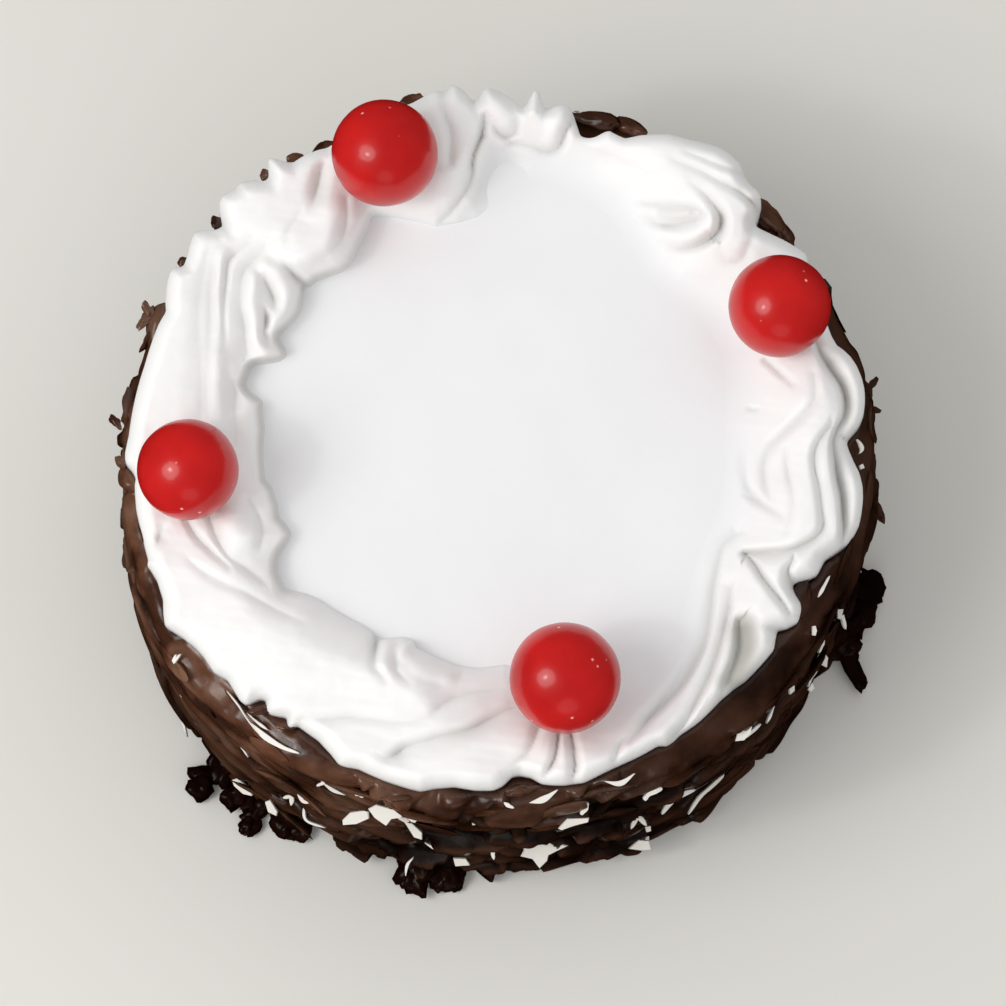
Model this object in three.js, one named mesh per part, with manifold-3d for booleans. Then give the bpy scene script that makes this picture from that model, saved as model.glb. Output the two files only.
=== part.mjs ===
// A small round black forest cake for one or two people, about 110 mm across with its chocolate.
//
// The side is coated in dark chocolate shards, the top is spread flat with white cream, and a wide
// border is piped round it by hand with a star nozzle. Four candied cherries sit in the border, and
// the middle is bare.
//
// Millimetres, +Z up, -Y is the front. The origin is the middle of the base, on the table.

import * as THREE from 'three';
import { mergeVertices } from 'three/addons/utils/BufferGeometryUtils.js';
import Module from 'manifold-3d';

const wasm = await Module();
wasm.setup();

// ---------------------------------------------------------------- driving dimensions

const GAP = 0.3;                 // clearance that separate pieces keep

const WALL_RADIUS = 53;          // the side under its chocolate
const WALL_FACETS = 48;
const BODY_TOP = 43.6;           // sponge and filling, up to the spread cream
const RIM_TOP = 45.8;            // the chocolate coat, up to the piped border
const CREAM_TOP = 46;            // the flat cream face
const CREAM_RADIUS = 51.6;
const CREAM_EDGE = 0.8;          // rounding of the cream's rim

const BORDER_REACH = 54.8;       // nothing of the border goes further out
const BED_INNER = 37;            // the low bed of cream that joins the piped strokes
const BED_OUTER = 51.5;
const BED_RISE = 2.6;
const STROKE_SINK = 1.6;         // how far a stroke's section goes into the cream below it
const STROKE_STEP = 4.6;         // length of one step along a stroke
const NOZZLE_POINTS = 5;
const NOZZLE_GROOVE = 0.2;       // depth of the grooves, as a share of the section

const CHERRY_DETAIL = 3;
const CHERRY_HEIGHT = 57.5;      // height of the cherries' centres
const CHERRY_DIMPLE = 0.06;      // how far the stalk end is drawn in

const SHARD_COUNT = 56;          // chocolate shards round the side
const SHARD_ROWS = 4;
const SHARD_THICKNESS = 1.4;
const SHARD_LIMIT = 57;          // no shard on the wall stands further out
const SHARD_TOP = 48;            // the highest tip over the rim
const FOOT_LIMIT = 64;           // no piece that has slid to the foot lies further out
const SEED = 20240611;

// ---------------------------------------------------------------- materials

function material(name, color, roughness) {
  const made = new THREE.MeshStandardMaterial({ color, roughness, metalness: 0 });
  made.name = name;
  return made;
}

const chocolate = material('chocolate', 0x3a231c, 0.42);
const cream = material('cream', 0xf4f3f2, 0.55);
const pipedCream = material('piped_cream', 0xf8f7f6, 0.5);
const cherryRed = material('cherry', 0xb8141a, 0.28);

// ---------------------------------------------------------------- solids

// A closed geometry, with its shared vertices merged, as a solid that can be joined and cut.
function solid(geometry) {
  const plain = geometry.clone();
  plain.deleteAttribute('normal');
  plain.deleteAttribute('uv');
  const merged = mergeVertices(plain, 1e-4);
  const mesh = new wasm.Mesh({
    numProp: 3,
    vertProperties: new Float32Array(merged.attributes.position.array),
    triVerts: new Uint32Array(merged.index.array),
  });
  return new wasm.Manifold(mesh);
}

function geometryOf(manifold) {
  const mesh = manifold.getMesh();
  const geometry = new THREE.BufferGeometry();
  geometry.setAttribute('position', new THREE.BufferAttribute(new Float32Array(mesh.vertProperties), 3));
  geometry.setIndex(new THREE.BufferAttribute(new Uint32Array(mesh.triVerts), 1));
  geometry.computeVertexNormals();
  return geometry;
}

function largestBody(manifold) {
  const bodies = manifold.decompose();
  return bodies.reduce((best, body) => (body.volume() > best.volume() ? body : best));
}

// The skin over a row of rings with equally many points, closed by one point at each end.
function loft(first, rings, last) {
  const sides = rings[0].length;
  const points = [first, ...rings.flat(), last];
  const end = points.length - 1;
  const at = (ring, side) => 1 + ring * sides + (side % sides);
  const faces = [];
  for (let side = 0; side < sides; side += 1) {
    faces.push(0, at(0, side + 1), at(0, side));
    faces.push(end, at(rings.length - 1, side), at(rings.length - 1, side + 1));
    for (let ring = 0; ring + 1 < rings.length; ring += 1) {
      faces.push(at(ring, side), at(ring, side + 1), at(ring + 1, side + 1));
      faces.push(at(ring, side), at(ring + 1, side + 1), at(ring + 1, side));
    }
  }
  const geometry = new THREE.BufferGeometry().setFromPoints(points);
  geometry.setIndex(faces);
  return geometry;
}

function lathe(profile, facets) {
  const points = profile.map(([radius, height]) => new THREE.Vector2(radius, height));
  return new THREE.LatheGeometry(points, facets).rotateX(Math.PI / 2);
}

// The same random draws every time.
function randomFrom(seed) {
  let state = seed;
  return () => {
    state = (Math.imul(state, 1664525) + 1013904223) >>> 0;
    return state / 4294967296;
  };
}

// ---------------------------------------------------------------- cherries

// Each cherry: its middle, its radius and the turn of its stalk end.
const CHERRIES = [
  { x: -19.5, y: 39.2, radius: 7.75, turn: 200 },
  { x: 39.0, y: 19.9, radius: 7.4, turn: 320 },
  { x: -43.6, y: -10.9, radius: 7.2, turn: 20 },
  { x: 11.6, y: -37.4, radius: 7.8, turn: 110 },
];

// A candied cherry is a ball with a shallow dimple low on one side.
function cherry({ x, y, radius, turn }) {
  const geometry = new THREE.IcosahedronGeometry(radius, CHERRY_DETAIL);
  const azimuth = THREE.MathUtils.degToRad(turn);
  const stalk = new THREE.Vector3(Math.cos(azimuth), Math.sin(azimuth), -0.6).normalize();
  const position = geometry.attributes.position;
  const point = new THREE.Vector3();
  for (let i = 0; i < position.count; i += 1) {
    point.fromBufferAttribute(position, i);
    const facing = point.dot(stalk) / radius;
    const dimple = CHERRY_DIMPLE * Math.exp(-(((1 - facing) / 0.08) ** 2));
    point.multiplyScalar(1 - dimple);
    position.setXYZ(i, point.x, point.y, point.z);
  }
  return geometry.translate(x, y, CHERRY_HEIGHT);
}

// The seat that a cherry presses into the cream.
function cherrySeat({ x, y, radius }) {
  return new THREE.IcosahedronGeometry(radius + GAP, CHERRY_DETAIL).translate(x, y, CHERRY_HEIGHT);
}

// ---------------------------------------------------------------- piped border

// Each stroke of the nozzle: the points that it passes, as x, y, half its width there and the
// height of its crest over the cream. Strokes are listed clockwise from the left of the cherry at
// the back, and overlap as they were piped.
const STROKES = [
  // shell at the back left: three ribbons that run down and close up under the left cherry
  {
    path: [
      [-36, 40, 3.4, 4], [-43, 32, 5.2, 6], [-49, 18, 4.8, 7], [-49.5, 5, 4.6, 7.4],
      [-47, -8, 4.4, 7.2],
    ],
    twist: 40,
  },
  {
    path: [
      [-34, 37, 3, 5], [-41, 28, 4.4, 7.4], [-44.6, 16, 4, 8.4], [-43.5, 5, 3.6, 8.2],
      [-42, -7, 3.4, 7.6],
    ],
    twist: -50,
  },
  {
    path: [
      [-37, 29, 2.4, 5], [-39.6, 20, 3.2, 7.4], [-39, 10, 3, 7.2], [-37.4, 2, 3, 6],
      [-37.4, -9, 3, 6],
    ],
    twist: 70,
  },
  // ear-shaped curl inside it
  {
    path: [
      [-37, 24, 2.2, 6], [-32.4, 23, 2.5, 7], [-31.2, 17, 2.4, 6.4], [-32.6, 11.4, 2.3, 6],
      [-36, 8.6, 2, 5],
    ],
    twist: 90,
  },
  // drop-shaped bulb beside the back cherry, and the fold that leans on it
  { path: [[-23, 40, 4, 7.4], [-26.4, 31, 5.6, 8.4], [-28.6, 22.6, 5, 6]], twist: 60 },
  { path: [[-28, 44, 2.6, 4.6], [-32, 37, 3.2, 7], [-34.6, 29, 2.8, 7]], twist: 30 },
  // rosette under the back cherry
  {
    path: [
      [-26, 47.5, 2.6, 4], [-17, 49.6, 3.6, 5.6], [-9.6, 45, 4.2, 6.8], [-9.4, 36.6, 4, 6.4],
      [-15.6, 30.4, 3.4, 4.6],
    ],
    twist: 120,
  },
  {
    path: [[-25, 38, 4.4, 7.4], [-20, 44, 4.4, 7.6], [-14.6, 39, 4.4, 7.4], [-19, 34, 4, 7]],
    twist: 40,
  },
  // three short dabs drawn outwards at the back
  { path: [[-4.6, 42, 2.6, 2.4], [-5.2, 48, 3.4, 5.6], [-5.8, 53.6, 2.4, 5]], twist: 10 },
  { path: [[1, 42, 2.8, 2.2], [1.2, 48, 3.6, 5.2], [1.6, 53.6, 2.4, 4.6]], twist: 0 },
  { path: [[5.6, 41.6, 2.8, 2], [6.8, 47, 3.6, 4.6], [7.6, 51.8, 2.6, 4]], twist: -10 },
  // smeared cream between the dabs and the scroll
  { path: [[4, 43, 4, 2.6], [12, 44, 5, 3], [20, 41, 4.6, 4]], twist: 0 },
  // scroll at the back right, wound inwards, and its tail to the right cherry
  {
    path: [
      [10, 43.6, 3.6, 4], [19, 44.8, 4.2, 7], [27, 43.4, 4.4, 8], [32, 38, 4.2, 7.6],
      [32.4, 31, 3.4, 5],
    ],
    twist: 90,
  },
  {
    path: [
      [14, 40, 3, 3.6], [21, 39.4, 3, 6.6], [27, 38, 3, 8], [28.4, 33.4, 2.8, 7],
      [24.6, 30.4, 2.6, 5],
    ],
    twist: 120,
  },
  { path: [[25.6, 35.8, 1.8, 6.4], [21.6, 34, 2, 5.6], [17.4, 35.4, 1.8, 4]], twist: 60 },
  { path: [[31, 37, 3, 5.4], [37, 34.2, 3, 6], [43.4, 29, 3.2, 6.6], [47, 21.6, 3.2, 6.6]], twist: 40 },
  { path: [[29, 32, 3, 4], [32, 25, 3.6, 5.6], [34, 17, 3.8, 6.4], [38, 10.6, 3.2, 6]], twist: 30 },
  // zigzag at the right: an outer, a middle and an inner strand
  {
    path: [[41, 17, 3.2, 7], [48.6, 12.6, 3.2, 7], [50.6, 6.6, 3.3, 7.4], [48, 1.4, 2.9, 7.4]],
    twist: 60,
  },
  {
    path: [[47, 3, 2.6, 6.4], [49.6, -3, 3, 7.6], [50.4, -8.6, 3.1, 7.4], [46.6, -14.4, 2.8, 6]],
    twist: -60,
  },
  {
    path: [
      [37, 16, 3.6, 7.2], [45, 9, 3, 8.2], [43.4, 2, 3, 8.2], [43.6, -5, 3, 8.4], [44.6, -10, 2.8, 8],
      [39, -15, 2.6, 6],
    ],
    twist: 90,
  },
  {
    path: [
      [36.6, 11, 2.4, 4.6], [40.4, 5.6, 2.7, 7], [38.2, -1, 2.7, 7.2], [38.4, -6.6, 2.5, 7],
      [41.6, -9.6, 2.2, 6],
    ],
    twist: -90,
  },
  { path: [[34.4, 3, 1.6, 2.6], [34.8, -3, 2, 4.4], [37, -8.4, 2, 4.6]], twist: 30 },
  // folds under the zigzag
  { path: [[37, -14, 2.8, 6], [43, -16.6, 3.3, 7], [47.2, -19.6, 2.7, 5.4]], twist: 60 },
  { path: [[38.4, -18, 2.8, 6], [43.4, -22.6, 3.4, 6.6], [44.4, -28, 2.6, 4.6]], twist: -60 },
  // long tail, two ribbons side by side, which runs down to the front cherry
  {
    path: [
      [38.6, -12.6, 2, 5], [33.8, -16.6, 2.6, 6.8], [33, -24, 2.8, 7.4], [30.6, -33, 2.8, 7.2],
      [24.6, -40.4, 3, 6.8], [16, -41, 3.2, 7],
    ],
    twist: 60,
  },
  {
    path: [
      [40, -22, 2.4, 5.6], [37.4, -30, 3, 6.6], [32.4, -37.6, 3, 6.4], [25.6, -44, 2.8, 5.6],
      [17, -48.6, 2.4, 4.6],
    ],
    twist: -60,
  },
  // three pinched folds under the front cherry
  { path: [[17.6, -40, 2.6, 6.6], [19.6, -46, 2.6, 5], [20, -49.6, 1.8, 3.6]], twist: 0 },
  { path: [[13.6, -41, 2.6, 6.6], [14.6, -47, 2.6, 5], [15, -51.6, 1.8, 3.6]], twist: 0 },
  { path: [[8.8, -41, 2.8, 6.8], [9, -47, 2.8, 5.4], [9.4, -52.6, 2, 4]], twist: 0 },
  // ribbons along the front
  {
    path: [
      [-34, -40, 3, 4], [-24, -46.4, 4.2, 5.6], [-12, -50, 4.2, 6], [0, -50, 4, 6], [8, -46, 3, 5],
    ],
    twist: 60,
  },
  {
    path: [
      [-30, -36, 3.4, 5], [-20, -42, 4, 7], [-9, -44.4, 3.8, 7.4], [1, -42.4, 3.2, 6.6],
      [8, -38.6, 3.4, 7],
    ],
    twist: -70,
  },
  {
    path: [[-22, -35, 3, 6], [-12, -39.4, 3.2, 7.4], [-3, -38, 3.2, 7], [7, -34.6, 3.2, 6.4]],
    twist: 60,
  },
  // small curl inside them
  {
    path: [[-18, -34.6, 1.8, 5.6], [-14.6, -31.6, 2, 6.2], [-9.6, -32.4, 2.2, 6], [-6, -35.4, 2, 5]],
    twist: 60,
  },
  // broad ribbon at the front left, drawn out from under the left cherry
  {
    path: [
      [-46, -6, 4.4, 7], [-48.4, -16, 5, 6.4], [-44, -27, 5.6, 6.6], [-36, -36, 5.4, 6],
      [-27, -42, 4, 5],
    ],
    twist: 40,
  },
  {
    path: [
      [-42, -11, 4, 7.4], [-40.4, -22, 4.2, 8], [-33, -29.4, 4.4, 8.2], [-24, -35, 3.8, 7.4],
      [-15, -40, 3, 6],
    ],
    twist: -60,
  },
  // bulb beside it, and the thin edge along the bare middle
  { path: [[-38.6, -8, 3.4, 6.6], [-35.4, -15, 3.8, 7.4], [-34.4, -21.4, 3.4, 6]], twist: 60 },
  {
    path: [
      [-36, -3, 2, 4], [-33.8, -10, 2.3, 4.4], [-31.4, -18, 2.3, 4], [-31.4, -25, 2, 4.4],
      [-25, -29, 2.2, 5],
    ],
    twist: 30,
  },
];

// One stroke: a star section swept along a spline, with rounded ends, as a closed skin.
function stroke({ path, twist }) {
  const place = new THREE.CatmullRomCurve3(path.map(([x, y]) => new THREE.Vector3(x, y, 0)));
  const size = new THREE.CatmullRomCurve3(path.map(([, , half, crest]) => new THREE.Vector3(half, crest, 0)));
  const length = place.getLength();
  const steps = Math.max(4, Math.round(length / STROKE_STEP));
  const sides = 2 * NOZZLE_POINTS;
  const centre = (t) => {
    const { x: half, y: crest } = size.getPoint(t);
    const rise = crest / 2 + STROKE_SINK / 2;
    const point = place.getPoint(t);
    point.z = CREAM_TOP + crest - rise;
    return { point, half, rise };
  };
  const ring = (t) => {
    const { point, half, rise } = centre(t);
    const along = place.getTangent(t);
    const across = new THREE.Vector3(-along.y, along.x, 0);
    const fromEnd = Math.min(1, (Math.min(t, 1 - t) * length) / (1.2 * half));
    const round = Math.sqrt(fromEnd * (2 - fromEnd));
    const start = THREE.MathUtils.degToRad(twist * t);
    return Array.from({ length: sides }, (_, side) => {
      const angle = start + (2 * Math.PI * side) / sides;
      const share = round * (side % 2 ? 1 - NOZZLE_GROOVE : 1);
      const corner = point.clone().addScaledVector(across, half * share * Math.cos(angle));
      corner.z += rise * share * Math.sin(angle);
      return corner;
    });
  };
  const rings = [];
  for (let step = 1; step < steps; step += 1) {
    rings.push(ring((1 - Math.cos((Math.PI * step) / steps)) / 2));
  }
  return loft(centre(0).point, rings, centre(1).point);
}

// Everything over the cream face that the border may fill.
function borderRoom() {
  const low = CREAM_TOP + GAP;
  const profile = [[0, low], [BORDER_REACH, low], [BORDER_REACH, low + 20], [0, low + 20]];
  return solid(lathe(profile, WALL_FACETS));
}

function borderBed() {
  const low = CREAM_TOP - 1;
  const high = CREAM_TOP + BED_RISE;
  const middle = (BED_INNER + BED_OUTER) / 2;
  const profile = [
    [BED_INNER, low],
    [BED_OUTER, low],
    [BED_OUTER, CREAM_TOP + 1],
    [middle, high],
    [BED_INNER, low],
  ];
  return solid(lathe(profile, 40));
}

function creamBorder() {
  let border = borderBed();
  for (const piped of STROKES) {
    border = border.add(solid(stroke(piped)));
  }
  border = border.intersect(borderRoom());
  for (const place of CHERRIES) {
    border = border.subtract(solid(cherrySeat(place)));
  }
  return geometryOf(largestBody(border));
}

// ---------------------------------------------------------------- spread cream

function creamTop() {
  const low = BODY_TOP + GAP;
  const edge = CREAM_RADIUS - CREAM_EDGE;
  const shoulder = CREAM_TOP - CREAM_EDGE;
  const profile = [
    [0, low],
    [CREAM_RADIUS, low],
    [CREAM_RADIUS, shoulder],
    [edge, CREAM_TOP],
    [0, CREAM_TOP],
  ];
  return lathe(profile, WALL_FACETS);
}

// ---------------------------------------------------------------- cake with its chocolate shards

// A bent shard on the wall: half its length, half its width, its slant, and how far its ends curl out.
function shard({ azimuth, height, half, width, slant, curl, lift }, random) {
  const onWall = (u, v, out) => {
    const run = u * half * Math.cos(slant) - v * width * Math.sin(slant);
    const rise = u * half * Math.sin(slant) + v * width * Math.cos(slant);
    const radius = WALL_RADIUS + lift + curl * u * u + out;
    const angle = azimuth + run / WALL_RADIUS;
    return new THREE.Vector3(radius * Math.cos(angle), radius * Math.sin(angle), height + rise);
  };
  const ragged = () => 0.75 + 0.5 * random();
  const rings = [-0.65, 0, 0.65].map((u) => {
    const upper = (1 - 0.45 * u * u) * ragged();
    const lower = (1 - 0.45 * u * u) * ragged();
    return [
      onWall(u, upper, -SHARD_THICKNESS),
      onWall(u, upper, 0),
      onWall(u, -lower, 0),
      onWall(u, -lower, -SHARD_THICKNESS),
    ];
  });
  const tip = (u) => onWall(u, 0.6 * (random() - 0.5), -SHARD_THICKNESS / 2);
  return loft(tip(-1), rings, tip(1));
}

// Pieces that have slid down and lie against the foot: azimuth, how far they reach, half their width
// and their height.
const FOOT_PIECES = [
  [226.5, 62.6, 3.4, 5],
  [231, 59.5, 2.6, 6],
  [235.5, 61.4, 1.7, 3],
  [240, 58.4, 2.8, 5],
  [262, 58.2, 3, 4],
  [267, 57.4, 2.2, 3],
  [340.6, 62.4, 1.3, 3],
  [345.5, 59.4, 3, 6],
  [350.5, 60.2, 3.4, 7],
  [355.5, 61.2, 3.2, 5],
];

function footPiece([azimuth, reach, half, height]) {
  const turn = THREE.MathUtils.degToRad(azimuth);
  const out = new THREE.Vector3(Math.cos(turn), Math.sin(turn), 0);
  const across = new THREE.Vector3(-out.y, out.x, 0);
  const at = (radius, side, level) => {
    const point = out.clone().multiplyScalar(radius).addScaledVector(across, side * half);
    point.z = level * height;
    return point;
  };
  const root = WALL_RADIUS - 2;
  const shares = [[0, 1.1], [0.55, 0.8], [0.9, 0.65]];
  const rings = shares.map(([share, size]) => {
    const radius = THREE.MathUtils.lerp(root, reach, share);
    return [
      at(radius, size, 0),
      at(radius, size, 0.6 * size),
      at(radius, 0, size),
      at(radius, -size, 0.5 * size),
      at(radius, -size, 0),
    ];
  });
  return loft(at(root - 0.5, 0, 0.4), rings, at(reach, 0, 0.2));
}

// Everything outside the spread cream and the border that the chocolate may fill.
function shardRoom() {
  const capRadius = CREAM_RADIUS + GAP;
  const borderRadius = BORDER_REACH + GAP;
  const outline = [
    [0, 0],
    [FOOT_LIMIT, 0],
    [FOOT_LIMIT, SHARD_TOP],
    [borderRadius, SHARD_TOP],
    [borderRadius, CREAM_TOP],
    [capRadius, CREAM_TOP],
    [capRadius, BODY_TOP],
    [0, BODY_TOP],
  ];
  return solid(lathe(outline, WALL_FACETS));
}

// Shards in rows round the side, each a little off its even place.
function sideShards(random) {
  const perRow = Math.ceil(SHARD_COUNT / SHARD_ROWS);
  const shards = [];
  for (let i = 0; i < SHARD_COUNT; i += 1) {
    const row = i % SHARD_ROWS;
    const turn = (Math.floor(i / SHARD_ROWS) + row / SHARD_ROWS + 0.5 * random()) / perRow;
    const curl = 0.6 + 2.2 * random();
    const lift = 0.5 + 0.9 * random();
    shards.push({
      azimuth: 2 * Math.PI * turn,
      height: 5.5 + 11.8 * row + 3 * (random() - 0.5),
      half: 9 + 6 * random(),
      width: 3.4 + 2.6 * random(),
      slant: (random() - 0.5) * 1.1,
      curl: Math.min(curl, SHARD_LIMIT - WALL_RADIUS - lift),
      lift,
    });
  }
  return shards;
}

function cakeBody() {
  const random = randomFrom(SEED);
  const rimInner = CREAM_RADIUS + GAP;
  const profile = [
    [0, 0],
    [WALL_RADIUS, 0],
    [WALL_RADIUS, RIM_TOP],
    [rimInner, RIM_TOP],
    [rimInner, BODY_TOP],
    [0, BODY_TOP],
  ];
  let cake = solid(lathe(profile, WALL_FACETS));
  for (const place of sideShards(random)) {
    cake = cake.add(solid(shard(place, random)));
  }
  for (const piece of FOOT_PIECES) {
    cake = cake.add(solid(footPiece(piece)));
  }
  return geometryOf(largestBody(cake.intersect(shardRoom())));
}

// ---------------------------------------------------------------- the cake, whole

const blackForestCake = new THREE.Group();

function place(name, geometry, finish) {
  const mesh = new THREE.Mesh(geometry, finish);
  mesh.name = name;
  blackForestCake.add(mesh);
}

place('cake', cakeBody(), chocolate);
place('cream_top', creamTop(), cream);
place('cream_border', creamBorder(), pipedCream);
CHERRIES.forEach((spot, index) => place(`cherry_${index + 1}`, cherry(spot), cherryRed));

export default blackForestCake;
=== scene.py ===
"""A small round black forest cake: white piped cream, four candied cherries and a side of chocolate shards.

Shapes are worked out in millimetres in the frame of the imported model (+Z up, -Y the front, origin at
the middle of the base) and put into Blender in metres. Azimuths are in degrees, counter-clockwise
from +X as seen from above.
"""

import math

import bpy
import numpy as np
from mathutils import Matrix, Vector, kdtree
from mathutils.bvhtree import BVHTree


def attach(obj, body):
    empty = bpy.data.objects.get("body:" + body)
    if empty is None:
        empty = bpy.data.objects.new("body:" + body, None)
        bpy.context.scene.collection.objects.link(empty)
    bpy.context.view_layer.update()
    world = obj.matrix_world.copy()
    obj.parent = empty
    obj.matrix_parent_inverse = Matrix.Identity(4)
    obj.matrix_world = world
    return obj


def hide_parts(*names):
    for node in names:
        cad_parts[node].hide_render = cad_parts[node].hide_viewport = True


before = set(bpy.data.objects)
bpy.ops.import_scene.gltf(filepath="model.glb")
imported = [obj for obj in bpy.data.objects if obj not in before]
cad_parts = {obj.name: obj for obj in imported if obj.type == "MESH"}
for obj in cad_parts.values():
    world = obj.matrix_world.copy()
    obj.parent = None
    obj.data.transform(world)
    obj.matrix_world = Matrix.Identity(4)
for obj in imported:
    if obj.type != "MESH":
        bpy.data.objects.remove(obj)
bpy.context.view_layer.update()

MM = 0.001
SEED = 7

CREAM_TOP = 46.0            # the flat cream face
CREAM_RADIUS = 51.6
WALL = 53.0                 # distance of the side under its chocolate

# Steps that spread azimuths and heights evenly, as shares of a turn and of the side.
GOLDEN_STEP = (math.sqrt(5) - 1) / 2
HEIGHT_STEP = 0.7548776662

# ---------------------------------------------------------------- camera

IMAGE_SIDE = 1006           # pixels
ELEVATION = 73.0            # degrees above the horizon
ROLL = 4.0                  # degrees
DISTANCE = 600.0            # mm, along the view, to the middle of the cream face
PIXELS_PER_MM = 6.89        # at that distance
MIDDLE_PIXEL = (498.5, 443.0)   # where the middle of the cream face is seen
FOCAL = PIXELS_PER_MM * DISTANCE    # pixels
SENSOR = 36.0               # mm


def make_camera():
    """The camera, which looks down from the front.

    Returns its place in mm, and the directions ahead of it, to its right and up.
    """
    elevation = math.radians(ELEVATION)
    roll = math.radians(ROLL)
    forward = Vector((0, math.cos(elevation), -math.sin(elevation)))
    level_up = Vector((0, math.sin(elevation), math.cos(elevation)))
    level_right = Vector((1, 0, 0))
    right = math.cos(roll) * level_right + math.sin(roll) * level_up
    up = -math.sin(roll) * level_right + math.cos(roll) * level_up
    across = (MIDDLE_PIXEL[0] - IMAGE_SIDE / 2) / FOCAL
    painted_light_high_up = (IMAGE_SIDE / 2 - MIDDLE_PIXEL[1]) / FOCAL
    ray = forward + across * right + painted_light_high_up * up
    place = Vector((0, 0, CREAM_TOP)) - DISTANCE * ray

    data = bpy.data.cameras.new("camera")
    data.sensor_fit = "HORIZONTAL"
    data.sensor_width = SENSOR
    data.lens = FOCAL * SENSOR / IMAGE_SIDE
    data.clip_start = 0.01
    data.clip_end = 10
    camera = bpy.data.objects.new("camera", data)
    turn = Matrix((right, up, -forward)).transposed()
    camera.matrix_world = Matrix.Translation(place * MM) @ turn.to_4x4()
    bpy.context.scene.collection.objects.link(camera)
    bpy.context.scene.camera = camera
    return [np.array(part) for part in (place, forward, right, up)]


def sight(pixel):
    """The direction in which a pixel is seen from the camera."""
    forward, right, up = camera_axes
    across, painted_light_high_up = (pixel[0] - IMAGE_SIDE / 2) / FOCAL, (IMAGE_SIDE / 2 - pixel[1]) / FOCAL
    return forward + across * right + painted_light_high_up * up


# ---------------------------------------------------------------- meshes

def mesh_object(name, points, faces, material, smooth=True, sharp=None):
    """A mesh object from points in millimetres; edges sharper than an angle in degrees may stay crisp."""
    mesh = bpy.data.meshes.new(name)
    mesh.from_pydata((np.asarray(points) * MM).tolist(), [], faces)
    mesh.update()
    if smooth:
        mesh.shade_smooth()
    if sharp:
        mesh.set_sharp_from_angle(angle=math.radians(sharp))
    mesh.materials.append(material)
    made = bpy.data.objects.new(name, mesh)
    bpy.context.scene.collection.objects.link(made)
    return made


def with_values(made, name, values):
    """The object with a value kept at each of its points."""
    made.data.attributes.new(name, "FLOAT", "POINT").data.foreach_set("value", values.astype(np.float32))
    return made


def joined(parts):
    """One list of points and one of faces from several of each."""
    points, faces, count = [], [], 0
    for part_points, part_faces in parts:
        points.append(part_points)
        faces.extend([tuple(corner + count for corner in face) for face in part_faces])
        count += len(part_points)
    return np.vstack(points), faces


def tube_faces(rings, sides):
    """The faces of a skin over rings of points, with a point before the first and after the last."""
    faces = []
    last = 1 + rings * sides
    for side in range(sides):
        after = (side + 1) % sides
        faces.append((0, 1 + after, 1 + side))
        faces.append((last, last - sides + side, last - sides + after))
        for ring in range(rings - 1):
            near, far = 1 + ring * sides, 1 + (ring + 1) * sides
            faces.append((near + side, near + after, far + after, far + side))
    return faces


def flipped(faces):
    """The same faces, turned inside out."""
    return [tuple(reversed(face)) for face in faces]


def ball(rows, turns):
    """The points of a ball of radius 1, from pole to pole, and its faces."""
    tilt = math.pi * np.arange(1, rows)[:, None] / rows
    angle = 2 * math.pi * np.arange(turns) / turns
    height = np.repeat(np.cos(tilt), turns, 1)
    sides = np.stack([np.sin(tilt) * np.cos(angle), np.sin(tilt) * np.sin(angle), height], 2)
    points = np.vstack([(0, 0, 1), sides.reshape(-1, 3), (0, 0, -1)])
    return points, flipped(tube_faces(rows - 1, turns))


def axes(azimuth):
    """The directions outwards and along the side at an azimuth."""
    turn = math.radians(azimuth)
    return np.array([math.cos(turn), math.sin(turn), 0]), np.array([-math.sin(turn), math.cos(turn), 0])


def at(azimuth, distance, height):
    """A point by azimuth, distance from the middle axis and height."""
    return axes(azimuth)[0] * distance + (0, 0, height)


def spline(rows, steps):
    """Points along a Catmull-Rom curve through the rows, and the direction at each."""
    rows = np.asarray(rows, float)
    padded = np.vstack([2 * rows[0] - rows[1], rows, 2 * rows[-1] - rows[-2]])
    t = np.linspace(0, len(rows) - 1, steps)
    i = np.minimum(t.astype(int), len(rows) - 2)
    f = (t - i)[:, None]
    p0, p1, p2, p3 = (padded[i + k] for k in range(4))
    a = -p0 + 3 * p1 - 3 * p2 + p3
    b = 2 * p0 - 5 * p1 + 4 * p2 - p3
    c = p2 - p0
    place = 0.5 * (a * f ** 3 + b * f ** 2 + c * f + 2 * p1)
    slope = 0.5 * (3 * a * f ** 2 + 2 * b * f + c)
    return place, slope


def soft_noise(points, seed, scale):
    """Smooth noise between about -1 and 1, one value a point, from seven crossed waves."""
    random = np.random.default_rng(seed)
    total = np.zeros(len(points))
    for _ in range(7):
        direction = random.normal(size=3)
        direction *= random.uniform(0.6, 1.5) / (np.linalg.norm(direction) * scale)
        total += np.sin(points @ direction * 2 * math.pi + random.uniform(0, 2 * math.pi))
    return total / 3.2


# ---------------------------------------------------------------- materials

def settle(node, **values):
    """Sets a node's sockets, with _ for each space in their names, and its properties."""
    for key, value in values.items():
        socket = key.replace("_", " ")
        if socket in node.inputs:
            node.inputs[socket].default_value = value
        else:
            setattr(node, key, value)
    return node


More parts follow.
